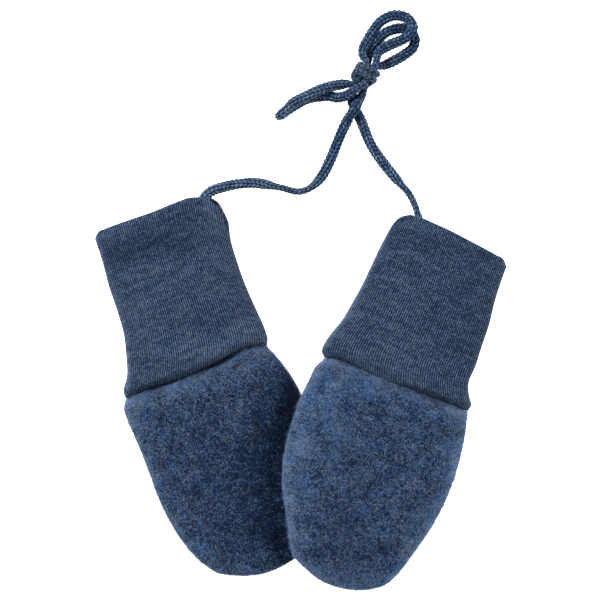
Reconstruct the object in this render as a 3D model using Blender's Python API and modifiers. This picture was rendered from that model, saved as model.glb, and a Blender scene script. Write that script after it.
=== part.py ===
"""A pair of thumbless baby mittens joined by a knotted cord, laid flat.

Each mitten is a double jersey cuff sewn to a fleece hand, and the hand is cut as a front and
a back that meet along a seam round its edge. The right mitten lies partly on the left one.
One knitted cord runs from cuff to cuff and is shortened by a slipped half knot, tied in the
doubled cord, with two loops and a folded tail.

Lengths are in millimetres until they are handed to Blender, which works in metres. The floor
is z = 0, the fingertips point towards -Y and the cuffs towards +Y.
"""

from collections import namedtuple
from math import cos, pi, radians, sin

import bmesh
import bpy
import numpy as np

MM = 0.001

# Driving dimensions
CUFF_WALL = 2.0         # jersey, doubled over at the mouth
FLEECE_WALL = 2.6       # one layer of brushed wool fleece
CORD_THICKNESS = 3.6
SEAM_GAP = 0.34         # space left between pieces that are sewn together
SEAM_EDGE = 0.7         # upright edge of each hand panel along the side seam
HAND_LENGTH = 86.5      # wrist seam to where the end of the hand starts to round off
HAND_TIP = 4.8          # how far the rounded end reaches past that
PRESSED_HEIGHT = 6.4    # two layers of fleece under the edge of the other mitten
PRESSED_ROLL = 3.2
PRESSED_FROM = -0.06    # place across the lower hand where its slope down starts
PRESSED_LAG = 0.58      # how much further across it starts close to the wrist
PRESSED_WIDTH = 0.60    # how much further across the slope has come down
PRESSED_CURVE = 1.8     # how late in that width it steepens
SLOPE_WIDTH = 26.0      # how far the upper mitten takes to come down to the floor
LAYOUT = (-0.295, -0.135)  # moves the whole set so that its middle is the origin

# How finely the surfaces are divided
CUFF_ROWS = 18
HAND_ROWS = 18
AROUND = 40             # points round a whole tube
EDGE_POINTS = 60        # points on the lower mitten's edge, where the upper one lies on it
SHORTEST_STEP = 2.0     # between two points of the cord in a tight bend
LONGEST_STEP = 9.5
STEP_IN_BEND = 0.8      # a step in a bend, as a share of the bend's radius

FLEECE_COLOUR = (0.055, 0.105, 0.200)
JERSEY_COLOUR = (0.040, 0.070, 0.125)
CORD_COLOUR = (0.035, 0.065, 0.130)

# A cross line of a mitten, from its left side (across -1) to its right side (across 1).
# Along is measured from the wrist, towards the fingertips. The two layers of the cuff may
# end at different places.
Mouth = namedtuple("Mouth", "across front back")
Seam = namedtuple("Seam", "across along")

# A section of a cuff. Share runs from 0 at the mouth to 1 at the wrist seam. Left and right
# are the distances of the two sides from the mitten's axis, height is the section's greatest
# height and roll the radius of its rolled sides.
Cuff = namedtuple("Cuff", "share left right height roll")

# A section of a hand. Along is measured from the wrist seam.
Hand = namedtuple("Hand", "along left right height roll")

Mitten = namedtuple("Mitten", "side wrist turn mouth seam cuff hand")

LEFT = Mitten(
    side="left",
    wrist=(-45.2, 8.3),
    turn=12.6,
    mouth=(
        Mouth(-1.00, -68.4, -68.4),
        Mouth(-0.93, -70.4, -70.2),
        Mouth(-0.80, -71.3, -71.1),
        Mouth(-0.50, -72.5, -72.3),
        Mouth(-0.10, -73.8, -73.6),
        Mouth(0.30, -75.6, -75.2),
        Mouth(0.55, -76.2, -76.0),
        Mouth(0.72, -74.6, -75.6),
        Mouth(0.86, -71.0, -73.4),
        Mouth(0.95, -66.6, -69.4),
        Mouth(1.00, -63.0, -63.0),
    ),
    seam=(
        Seam(-1.00, 2.8),
        Seam(-0.70, 1.6),
        Seam(-0.40, 0.8),
        Seam(-0.10, -0.3),
        Seam(0.15, -1.9),
        Seam(0.40, -3.9),
        Seam(0.60, -6.6),
        Seam(0.75, -7.5),
        Seam(0.88, -7.0),
        Seam(1.00, -6.2),
    ),
    cuff=(
        Cuff(0.00, 30.8, 28.2, 9.4, 3.1),
        Cuff(0.15, 29.8, 27.4, 9.8, 3.1),
        Cuff(0.30, 29.4, 28.0, 10.0, 3.1),
        Cuff(0.45, 28.3, 28.9, 10.2, 3.1),
        Cuff(0.60, 27.6, 30.4, 10.4, 3.2),
        Cuff(0.75, 28.7, 32.2, 10.8, 3.3),
        Cuff(0.88, 30.6, 33.6, 11.8, 3.4),
        Cuff(0.95, 33.2, 33.8, 11.4, 3.4),
        Cuff(1.00, 33.3, 33.2, 10.2, 3.3),
    ),
    hand=(
        Hand(0.0, 33.3, 33.2, 10.2, 3.3),
        Hand(4.0, 34.7, 35.3, 12.2, 3.6),
        Hand(10.0, 34.4, 38.6, 13.4, 3.8),
        Hand(18.0, 32.8, 42.0, 13.8, 3.9),
        Hand(30.0, 30.9, 44.3, 14.0, 3.9),
        Hand(42.0, 29.4, 44.8, 14.0, 3.9),
        Hand(54.0, 27.4, 43.2, 13.8, 3.9),
        Hand(65.0, 24.2, 39.6, 13.4, 3.8),
        Hand(74.0, 20.2, 35.8, 12.8, 3.7),
        Hand(81.0, 15.8, 32.4, 12.2, 3.6),
        Hand(HAND_LENGTH, 10.8, 28.0, 11.6, 3.5),
    ),
)

RIGHT = Mitten(
    side="right",
    wrist=(42.3, 3.0),
    turn=-10.7,
    mouth=(
        Mouth(-1.00, -66.0, -66.0),
        Mouth(-0.94, -69.8, -70.4),
        Mouth(-0.85, -73.0, -73.4),
        Mouth(-0.74, -74.9, -74.8),
        Mouth(-0.60, -75.0, -74.7),
        Mouth(-0.30, -73.4, -73.2),
        Mouth(0.00, -71.4, -71.2),
        Mouth(0.40, -68.1, -67.9),
        Mouth(0.80, -64.7, -64.5),
        Mouth(0.94, -63.2, -63.1),
        Mouth(1.00, -61.0, -61.0),
    ),
    seam=(
        Seam(-1.00, -7.2),
        Seam(-0.85, -7.7),
        Seam(-0.65, -6.3),
        Seam(-0.40, -4.4),
        Seam(-0.15, -2.3),
        Seam(0.10, -0.8),
        Seam(0.45, 1.4),
        Seam(0.75, 2.9),
        Seam(1.00, 4.2),
    ),
    cuff=(
        Cuff(0.00, 16.5, 37.8, 9.4, 3.1),
        Cuff(0.10, 18.3, 36.7, 9.7, 3.1),
        Cuff(0.25, 20.6, 35.6, 10.0, 3.1),
        Cuff(0.40, 22.9, 35.1, 10.2, 3.1),
        Cuff(0.55, 25.8, 33.7, 10.4, 3.2),
        Cuff(0.70, 29.0, 32.5, 10.8, 3.2),
        Cuff(0.82, 32.8, 30.9, 11.6, 3.3),
        Cuff(0.90, 34.8, 32.3, 11.8, 3.4),
        Cuff(0.96, 35.2, 34.0, 11.2, 3.4),
        Cuff(1.00, 34.0, 33.3, 10.2, 3.3),
    ),
    hand=(
        Hand(0.0, 34.0, 33.3, 10.2, 3.3),
        Hand(4.0, 36.6, 33.4, 12.4, 3.6),
        Hand(10.0, 38.6, 33.8, 13.7, 3.8),
        Hand(18.0, 40.9, 33.7, 14.2, 3.9),
        Hand(30.0, 42.9, 33.0, 14.6, 4.0),
        Hand(42.0, 43.0, 31.2, 14.6, 4.0),
        Hand(54.0, 40.8, 28.0, 14.4, 3.9),
        Hand(65.0, 36.7, 23.6, 13.8, 3.8),
        Hand(74.0, 34.0, 19.4, 13.0, 3.7),
        Hand(81.0, 30.2, 15.7, 12.2, 3.6),
        Hand(HAND_LENGTH, 22.4, 11.2, 11.6, 3.5),
    ),
)

# The cord's route. Girth is the cord's thickness there as a share of its full thickness: the
# knot draws it thinner. Points of the knot are given across it, along its bundle and up.
Point = namedtuple("Point", "x y z girth")
KNOT_CENTRE = (29.3, 141.7)
KNOT_TURN = -29.0
DRAWN = 0.70

# ---------------------------------------------------------------- curves and sections


def column(rows, name):
    """One named column of a table."""
    return np.array([getattr(row, name) for row in rows])


def smooth(places, values, at, level=()):
    """The smooth curve through the values at these places, read at other places.

    The curve runs level at the ends that are listed, 0 for its start and -1 for its end.
    """
    at = np.clip(at, places[0], places[-1])
    slopes = np.gradient(values, places)
    for end in level:
        slopes[end] = 0.0
    i = np.clip(np.searchsorted(places, at, side="right") - 1, 0, len(places) - 2)
    span = places[i + 1] - places[i]
    t = (at - places[i]) / span
    rise = values[i + 1] - values[i]
    bend_in = slopes[i] * span - rise
    bend_out = rise - slopes[i + 1] * span
    return values[i] + t * rise + t * (1 - t) * ((1 - t) * bend_in + t * bend_out)


def ease(start, end, at):
    """0 up to start, 1 from end on, and a soft slope between."""
    t = np.clip((at - start) / (end - start), 0.0, 1.0)
    return t * t * (3 - 2 * t)


def quarter_round(inset, roll):
    """Share of the roll's radius reached at this distance in from the edge."""
    outward = np.clip(1 - inset / roll, 0.0, 1.0)
    return np.sqrt(1 - outward**2)


def inset_from(edge, places):
    """Shortest distance of each place from the line through an edge's points."""
    start, end = edge[:-1], edge[1:]
    run = end - start
    offset = places[..., None, :] - start
    share = np.clip((offset * run).sum(axis=-1) / (run**2).sum(axis=-1), 0.0, 1.0)
    return np.linalg.norm(offset - share[..., None] * run, axis=-1).min(axis=-1)


def section_heights(across, rolled, roll, height, is_front):
    """Heights of a laid tube's upper or under side: rolled edges, a crown and a flat base."""
    crown = (height - 2 * roll) * (1 - abs(across) ** 3)
    top = roll * (1 + rolled) + np.maximum(crown, 0.0)
    base = roll * (1 - rolled)
    return np.where(is_front, top, base)


def on_layout(mitten, along, sideways):
    """Floor position of a point given along the mitten and sideways from its axis."""
    turn = radians(mitten.turn)
    x = mitten.wrist[0] + along * sin(turn) + sideways * cos(turn)
    y = mitten.wrist[1] - along * cos(turn) + sideways * sin(turn)
    return x, y


def wrist_line(mitten, across):
    """Where the wrist seam runs, along the mitten."""
    places = column(mitten.seam, "across")
    return smooth(places, column(mitten.seam, "along"), across, level=[0, -1])


def mouth_line(mitten, across, is_front):
    """Where the cuff's mouth runs, along the mitten, on its upper or under layer."""
    places = column(mitten.mouth, "across")
    front = smooth(places, column(mitten.mouth, "front"), across)
    back = smooth(places, column(mitten.mouth, "back"), across)
    return np.where(is_front, front, back)


# ---------------------------------------------------------------- surfaces of one mitten


def cuff_surface(mitten):
    """Grid of points on the cuff's outside, rows from mouth to wrist, columns round it."""
    share = np.linspace(0, 1, CUFF_ROWS)[:, None]
    share = share + 0.05 * np.sin(2 * pi * share) / pi
    angle = (np.arange(AROUND) * 2 * pi / AROUND)[None, :]
    across = np.cos(angle)
    is_front = np.sin(angle) >= 0
    places = column(mitten.cuff, "share")

    def read(name):
        return smooth(places, column(mitten.cuff, name), share, level=[-1])

    left, right, roll = read("left"), read("right"), read("roll")
    end = wrist_line(mitten, across) - SEAM_GAP / 2
    start = mouth_line(mitten, across, is_front)
    along = start + share * (end - start)
    sideways = (right - left) / 2 + across * (right + left) / 2
    inset = (1 - abs(across)) * (right + left) / 2
    rolled = quarter_round(inset, roll)
    z = section_heights(across, rolled, roll, read("height"), is_front)
    x, y = on_layout(mitten, along, sideways)
    return np.stack([x, y, z + 0 * x], axis=-1)


def hand_plan(mitten, base, across):
    """Plan of the hand: places along and sideways, one row for each section."""
    places = column(mitten.hand, "along")
    left = smooth(places, column(mitten.hand, "left"), base, level=[0])
    right = smooth(places, column(mitten.hand, "right"), base, level=[0])
    wrist = (wrist_line(mitten, across) + SEAM_GAP / 2) * (1 - ease(0, 50, base))
    tip = HAND_TIP * ease(40, HAND_LENGTH, base) * (1 - across**2)
    sideways = (right - left) / 2 + across * (right + left) / 2
    return np.stack([base + wrist + tip, sideways], axis=-1)


def hand_profile(mitten, base, across):
    """Height and roll of the hand's sections."""
    places = column(mitten.hand, "along")
    height = smooth(places, column(mitten.hand, "height"), base, level=[0])
    roll = smooth(places, column(mitten.hand, "roll"), base, level=[0])
    height = 2 * roll + (height - 2 * roll) * (1 - (base / HAND_LENGTH) ** 5)
    if mitten is LEFT:
        start = PRESSED_FROM + PRESSED_LAG * (1 - ease(6, 56, base))
        share = np.clip((across - start) / PRESSED_WIDTH, 0.0, 1.0)
        pressed = share**PRESSED_CURVE * ease(-3, 9, base)
        height = height + (PRESSED_HEIGHT - height) * pressed
        roll = roll + (PRESSED_ROLL - roll) * pressed
    return height, roll


def hand_surface(mitten, is_front):
    """One hand panel from wrist to fingertips: its outside, and its side seam's height."""
    base = HAND_LENGTH * (1 - np.cos(np.linspace(0, pi, HAND_ROWS)[:, None])) / 2
    angle = np.linspace(0, pi, AROUND // 2 + 1)[None, :]
    across = np.cos(angle) if is_front else -np.cos(angle)
    plan = hand_plan(mitten, base, across)
    height, roll = hand_profile(mitten, base, across)
    seam = np.concatenate([plan[:, 0], plan[-1, 1:-1], plan[::-1, -1]])
    rolled = quarter_round(inset_from(seam, plan), roll)
    z = section_heights(across, rolled, roll, height, is_front)
    towards_outside = 1 if is_front else -1
    z = z + towards_outside * (SEAM_GAP / 2 + SEAM_EDGE) * (1 - rolled)
    x, y = on_layout(mitten, plan[..., 0], plan[..., 1])
    seam_height = roll + towards_outside * SEAM_GAP / 2 + 0 * z
    return np.stack([x, y, z], axis=-1), seam_height


def lift_over_lower(points):
    """How far the upper mitten is lifted at these places, by the mitten that it lies on."""
    base = np.linspace(0, HAND_LENGTH, EDGE_POINTS)
    side = hand_plan(LEFT, base, np.ones(EDGE_POINTS))
    tip = hand_plan(LEFT, np.full(EDGE_POINTS, HAND_LENGTH), np.linspace(1, 0, EDGE_POINTS))
    turn = radians(LEFT.turn)
    x = points[:, 0] - LEFT.wrist[0]
    y = points[:, 1] - LEFT.wrist[1]
    along = x * sin(turn) - y * cos(turn)
    sideways = x * cos(turn) + y * sin(turn)
    is_inside = (sideways < np.interp(along, *side.T)) & (along < HAND_LENGTH)
    beside = inset_from(np.concatenate([side, tip[1:]]), np.stack([along, sideways], axis=-1))
    distance = np.where(is_inside, 0.0, beside)
    return (PRESSED_HEIGHT + SEAM_GAP) * (1 - ease(0, SLOPE_WIDTH, distance))


# ---------------------------------------------------------------- the cord's route


def knot(across, along, up, girth=DRAWN):
    """A route point given in the knot's own directions."""
    turn = radians(KNOT_TURN)
    x = KNOT_CENTRE[0] + across * cos(turn) - along * sin(turn)
    y = KNOT_CENTRE[1] + across * sin(turn) + along * cos(turn)
    return Point(x, y, up, girth)


FROM_LEFT_CUFF = (
    Point(-44.0, 81.8, 4.25, 1.0),
    Point(-42.5, 86.1, 4.35, 1.0),
    Point(-39.3, 89.4, 3.40, 1.0),
    Point(-33.8, 91.5, 2.00, 1.0),
    Point(-26.3, 93.0, 1.85, 1.0),
    Point(-19.3, 93.3, 1.85, 1.0),
    Point(-8.7, 91.3, 1.85, 1.0),
    Point(-0.4, 89.5, 1.85, 1.0),
    Point(4.7, 91.3, 1.85, 1.0),
    Point(9.5, 96.1, 1.85, 1.0),
    Point(13.1, 102.9, 1.85, 1.0),
    Point(17.5, 113.7, 1.85, 1.0),
    Point(20.6, 120.3, 2.50, 1.0),
    Point(24.3, 126.3, 6.20, 1.0),
    Point(27.5, 132.5, 2.30, 0.92),
)

LOWER_TURN = (
    knot(2.4, -5.4, 1.6, 0.80),
    knot(3.4, -2.9, 1.5),
    knot(4.3, -1.5, 3.9),
    knot(4.25, -1.5, 7.8),
    knot(3.0, -1.5, 10.1),
    knot(0.0, -1.5, 10.4),
    knot(-2.4, -1.6, 10.15),
    knot(-4.1, -2.1, 9.2),
    knot(-4.4, -3.2, 8.2),
    knot(-4.0, -4.6, 7.55),
    knot(-2.8, -5.1, 7.35),
    knot(-1.7, -4.2, 7.3),
)

OUTER_LOOP = (
    knot(-1.45, -1.2, 7.3),
    knot(-1.8, 3.4, 7.2, 0.80),
    Point(27.5, 149.2, 5.70, 0.92),
    Point(28.2, 152.9, 3.50, 1.0),
    Point(32.2, 160.1, 1.90, 1.0),
    Point(35.7, 164.6, 1.85, 1.0),
    Point(41.9, 167.2, 1.85, 1.0),
    Point(47.4, 165.7, 2.50, 1.0),
    Point(49.5, 161.8, 5.00, 1.0),
    Point(48.5, 158.4, 5.75, 1.0),
    Point(45.2, 156.3, 4.60, 1.0),
    Point(39.2, 153.8, 3.30, 1.0),
    Point(34.7, 150.7, 4.60, 0.95),
    knot(1.6, 5.2, 7.2, 0.82),
)

TAIL_OUT = (
    knot(1.45, 1.5, 7.3),
    knot(1.45, -1.5, 7.3),
    knot(1.5, -4.1, 7.6, 0.78),
    knot(0.6, -6.9, 8.0, 0.85),
    knot(-0.8, -9.4, 7.2, 0.92),
    Point(20.9, 131.8, 5.20, 1.0),
    Point(16.8, 130.9, 2.90, 1.0),
    Point(12.4, 131.6, 1.85, 1.0),
    Point(3.2, 130.4, 1.85, 1.0),
    Point(-2.2, 127.5, 1.85, 1.0),
    Point(-5.9, 124.8, 1.85, 0.95),
)

TAIL_FOLD = (
    Point(-7.9, 123.4, 1.86, 0.86),
    Point(-9.0, 122.7, 2.40, 0.82),
    Point(-9.5, 122.5, 3.65, 0.82),
    Point(-9.1, 122.9, 4.90, 0.82),
    Point(-8.1, 123.6, 5.45, 0.86),
)

TAIL_BACK = (
    Point(-6.1, 125.2, 5.45, 0.95),
    Point(-2.9, 128.3, 5.45, 1.0),
    Point(2.3, 131.2, 5.45, 1.0),
    Point(7.6, 133.7, 5.10, 1.0),
    Point(12.4, 135.4, 3.90, 1.0),
    Point(17.0, 136.4, 3.60, 1.0),
    Point(20.9, 136.8, 4.30, 0.92),
    knot(-1.9, -7.5, 4.8, 0.80),
    knot(0.6, -5.8, 4.6),
    knot(1.45, -3.2, 4.4),
)

INNER_LOOP = (
    knot(1.45, 0.0, 4.4),
    knot(1.75, 3.4, 4.4, 0.78),
    Point(37.3, 145.2, 2.10, 0.95),
    Point(41.7, 147.3, 1.85, 1.0),
    Point(46.3, 150.0, 1.85, 1.0),
    Point(49.9, 153.2, 1.85, 1.0),
    Point(50.4, 157.3, 1.85, 1.0),
    Point(46.1, 161.2, 1.85, 1.0),
    Point(41.4, 161.0, 1.85, 1.0),
    Point(37.0, 159.0, 1.85, 1.0),
    Point(33.6, 154.9, 1.85, 1.0),
    Point(31.2, 151.3, 2.30, 0.95),
    knot(-1.45, 3.4, 4.2, 0.80),
)

UPPER_TURN = (
    knot(-1.45, 0.2, 4.4),
    knot(-1.45, -3.0, 4.4),
    knot(-1.95, -4.35, 4.4),
    knot(-3.1, -4.85, 4.4),
    knot(-3.95, -4.3, 4.4),
    knot(-4.3, -3.0, 4.4),
    knot(-4.35, -0.9, 4.9),
    knot(-4.3, 0.7, 6.1),
    knot(-4.25, 1.2, 8.3),
    knot(-2.8, 1.5, 9.9),
    knot(0.0, 1.5, 10.25),
    knot(3.0, 1.5, 9.85),
    knot(4.2, 1.5, 7.6),
    knot(4.3, 1.5, 3.9),
    knot(3.2, 1.2, 1.7),
    knot(0.3, -1.2, 1.42),
    knot(-1.0, -4.4, 1.45, 0.80),
)

TO_RIGHT_CUFF = (
    Point(24.3, 135.5, 1.60, 0.88),
    Point(22.8, 132.1, 1.85, 1.0),
    Point(24.2, 125.9, 1.85, 1.0),
    Point(26.6, 121.4, 1.85, 1.0),
    Point(31.1, 110.5, 1.85, 1.0),
    Point(37.7, 100.8, 1.85, 1.0),
    Point(44.3, 92.9, 1.85, 1.0),
    Point(48.0, 88.6, 1.85, 1.0),
    Point(50.3, 84.2, 2.60, 1.0),
    Point(51.6, 80.0, 4.20, 1.0),
    Point(52.3, 77.0, 4.35, 1.0),
    Point(53.2, 73.2, 4.25, 1.0),
)

ROUTE = (
    FROM_LEFT_CUFF
    + LOWER_TURN
    + OUTER_LOOP
    + TAIL_OUT
    + TAIL_FOLD
    + TAIL_BACK
    + INNER_LOOP
    + UPPER_TURN
    + TO_RIGHT_CUFF
)


def smooth_route(route, per_span=16):
    """Closely spaced points on the smooth curve through the route's points."""
    points = np.array(route)
    steps = np.linalg.norm(np.diff(points[:, :3], axis=0), axis=1)
    places = np.concatenate([[0.0], np.cumsum(np.sqrt(steps))])
    at = np.interp(
        np.arange((len(points) - 1) * per_span + 1) / per_span,
        np.arange(len(points)),
        places,
    )
    return np.stack([smooth(places, axis, at) for axis in points.T], axis=-1)


def thin_out(curve):
    """Points of the curve, close together where it bends and far apart where it doesn't."""
    before, here, after = curve[:-2, :3], curve[1:-1, :3], curve[2:, :3]
    a = np.linalg.norm(here - before, axis=1)
    b = np.linalg.norm(after - here, axis=1)
    c = np.linalg.norm(after - before, axis=1)
    area = np.linalg.norm(np.cross(here - before, after - here), axis=1) / 2
    radius = a * b * c / (4 * area + 1e-9)
    wanted = np.clip(STEP_IN_BEND * radius, SHORTEST_STEP, LONGEST_STEP)
    progress = np.concatenate([[0.0], np.cumsum(a / wanted)])
    count = int(round(progress[-1]))
    marks = np.linspace(0, progress[-1], count + 1)
    picked = [int(np.argmin(abs(progress - mark))) for mark in marks]
    return curve[picked[:-1] + [len(curve) - 1]]


# ---------------------------------------------------------------- Blender objects


def clear_scene():
    for item in list(bpy.data.objects):
        bpy.data.objects.remove(item, do_unlink=True)


def make_material(name, colour, roughness):
    material = bpy.data.materials.new(name)
    material.use_nodes = True
    shader = material.node_tree.nodes["Principled BSDF"]
    shader.inputs["Base Color"].default_value = (*colour, 1.0)
    shader.inputs["Roughness"].default_value = roughness
    shader.inputs["Metallic"].default_value = 0.0
    return material


def add_to_set(item, material, collection):
    """Place a finished object with the rest of the set."""
    item.location = (LAYOUT[0] * MM, LAYOUT[1] * MM, 0.0)
    item.data.materials.append(material)
    collection.objects.link(item)


def add_band(work, row, following, is_closed):
    """A band of faces between two rows of points."""
    for j in range(0 if is_closed else 1, len(row)):
        work.faces.new((row[j - 1], row[j], following[j], following[j - 1]))


def cloth_surface(name, grid, seam_height):
    """An open surface through a grid of points, a tube where it has no side seam."""
    work = bmesh.new()
    rows = [[work.verts.new(point * MM) for point in row] for row in grid]
    for row, following in zip(rows, rows[1:]):
        add_band(work, row, following, seam_height is None)
    if seam_height is not None:
        edge = [row[0] for row in rows] + rows[-1][1:-1] + [row[-1] for row in reversed(rows)]
        heights = [*seam_height[:, 0], *seam_height[-1, 1:-1], *seam_height[::-1, -1]]
        seam = [work.verts.new((*v.co.xy, z * MM)) for v, z in zip(edge, heights)]
        add_band(work, edge, seam, False)
    mesh = bpy.data.meshes.new(name)
    work.to_mesh(mesh)
    work.free()
    return mesh


def cloth_piece(name, surface, seam_height, wall, material, collection):
    """A cloth piece: an open surface, thickened inwards by its wall."""
    item = bpy.data.objects.new(name, cloth_surface(name, surface, seam_height))
    add_to_set(item, material, collection)
    thicken = item.modifiers.new("cloth wall", "SOLIDIFY")
    thicken.thickness = wall * MM
    thicken.offset = -1.0
    thicken.use_even_offset = True
    thicken.use_rim = True
    return item


def lay_over(item):
    """Fix a piece's wall and lay the piece over the lower mitten."""
    bpy.context.view_layer.update()
    evaluated = item.evaluated_get(bpy.context.evaluated_depsgraph_get())
    mesh = bpy.data.meshes.new_from_object(evaluated)
    item.modifiers.clear()
    item.data = mesh
    points = np.array([vertex.co for vertex in mesh.vertices]) / MM
    for vertex, lift in zip(mesh.vertices, lift_over_lower(points)):
        vertex.co.z += lift * MM


def cord_piece(name, route, material, collection):
    """The cord: a round section swept along its route."""
    data = bpy.data.curves.new(name, "CURVE")
    data.dimensions = "3D"
    data.bevel_depth = CORD_THICKNESS / 2 * MM
    data.bevel_resolution = 2
    data.use_fill_caps = True
    points = thin_out(smooth_route(route))
    spline = data.splines.new("POLY")
    spline.points.add(len(points) - 1)
    for point, (x, y, z, girth) in zip(spline.points, points):
        point.co = (x * MM, y * MM, z * MM, 1.0)
        point.radius = girth
    item = bpy.data.objects.new(name, data)
    add_to_set(item, material, collection)
    return item


def build_mitten(mitten, fleece, jersey, collection):
    """One mitten: its cuff and the front and back of its hand."""
    cuff = cuff_surface(mitten)
    front, front_seam = hand_surface(mitten, True)
    back, back_seam = hand_surface(mitten, False)
    side = mitten.side
    return [
        cloth_piece(f"{side}_cuff", cuff, None, CUFF_WALL, jersey, collection),
        cloth_piece(f"{side}_hand_front", front, front_seam, FLEECE_WALL, fleece, collection),
        cloth_piece(f"{side}_hand_back", back, back_seam, FLEECE_WALL, fleece, collection),
    ]


def build():
    clear_scene()
    collection = bpy.data.collections.new("baby_mittens")
    bpy.context.scene.collection.children.link(collection)
    fleece = make_material("fleece", FLEECE_COLOUR, 0.95)
    jersey = make_material("cuff_jersey", JERSEY_COLOUR, 0.9)
    knitted = make_material("cord_knit", CORD_COLOUR, 0.9)
    build_mitten(LEFT, fleece, jersey, collection)
    for item in build_mitten(RIGHT, fleece, jersey, collection):
        lay_over(item)
    cord_piece("cord", ROUTE, knitted, collection)


build()
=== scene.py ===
# %% [markdown]
# # A pair of baby mittens on a knotted cord
#
# Two thumbless mittens lie flat, the right one partly on the left one. Each has a double
# jersey cuff and a hand of brushed wool fleece, cut as a front and a back. One knitted cord
# runs from cuff to cuff, shortened by a slipped half knot in the doubled cord.
#
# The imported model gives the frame. The cord and each piece of cloth take the place of one of
# its solids, and are worked out from the same sections, only finer: thin cloth with folds,
# stitches and nap.

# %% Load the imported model
from collections import namedtuple
from math import pi, radians

import bpy
import numpy as np
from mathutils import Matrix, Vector, noise


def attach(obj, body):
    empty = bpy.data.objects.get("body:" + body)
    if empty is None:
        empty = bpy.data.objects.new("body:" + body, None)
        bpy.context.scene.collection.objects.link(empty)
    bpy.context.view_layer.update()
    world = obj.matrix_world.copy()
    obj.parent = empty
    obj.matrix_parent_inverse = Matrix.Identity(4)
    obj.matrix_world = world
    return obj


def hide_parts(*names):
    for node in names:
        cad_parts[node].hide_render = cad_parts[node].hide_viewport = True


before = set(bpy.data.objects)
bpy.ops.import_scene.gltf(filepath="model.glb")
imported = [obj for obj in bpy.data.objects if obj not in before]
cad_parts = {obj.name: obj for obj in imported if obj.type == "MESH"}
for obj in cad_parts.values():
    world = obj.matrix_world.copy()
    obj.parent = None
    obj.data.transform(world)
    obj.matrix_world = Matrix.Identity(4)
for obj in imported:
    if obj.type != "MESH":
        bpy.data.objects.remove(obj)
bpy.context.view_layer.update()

print("Nodes:", ", ".join(sorted(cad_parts)))

# %% [markdown]
# ## Sizes
#
# Lengths are in millimetres here, as a pattern cutter has them. They could be in metres, as
# Blender's are, but then every size would start with noughts, so they are turned into metres
# only when a mesh is made.

# %% The sizes that everything is worked out from
MM = 0.001
LAYOUT = np.array([-0.295, -0.135, 0.0])  # brings the middle of the set to the origin

CUFF_WALL = 1.8         # two layers of jersey
FLEECE_WALL = 2.0
CORD_THICKNESS = 3.6
SEAM_EDGE = 0.5         # height of the narrow upright face along a hand's side seam
HAND_LENGTH = 86.5      # from the wrist to a hand's last section
HAND_TIP = 4.8          # how far the middle of that section bows out, as the fingertips do
PRESSED_HEIGHT = 6.2    # the lower hand under the edge of the upper one
PRESSED_ROLL = 3.1      # radius of its rolled side there
OVER_LOWER = 6.74       # how high the upper mitten is lifted by the lower one
SLOPE_WIDTH = 26.0      # how far it takes to come down to the floor

WALES = 136             # columns of stitches round a cuff
COURSE = 0.62           # height of one row of stitches
CORD_COLUMNS = 4        # columns of stitches round the cord
CORD_STITCH = 1.9       # length of one of its stitches
CORD_SLANT = 1.3        # how steeply a stitch's legs lean

print(f"Walls: cuff {CUFF_WALL} mm, fleece {FLEECE_WALL} mm. Cord: {CORD_THICKNESS} mm")

# %% [markdown]
# ## The two patterns
#
# Soft things could be sculpted by hand, but a table of sections keeps their sizes exact, and
# the same functions then draw both mittens. Each has its own tables, because no two soft
# things lie alike. Across runs from -1 on a mitten's left side to 1 on its right side, and
# along is measured from the wrist towards the fingertips. Left and right are distances from
# the mitten's axis, and tuck is how deep the wrist seam pulls the cloth in, as a share.

# %% Tables of the sections
Mouth = namedtuple("Mouth", "across front back")
Seam = namedtuple("Seam", "across along tuck")
Cuff = namedtuple("Cuff", "share left right height roll")
Hand = namedtuple("Hand", "along left right height roll")
Mitten = namedtuple("Mitten", "side wrist turn mouth seam cuff hand")

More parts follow.
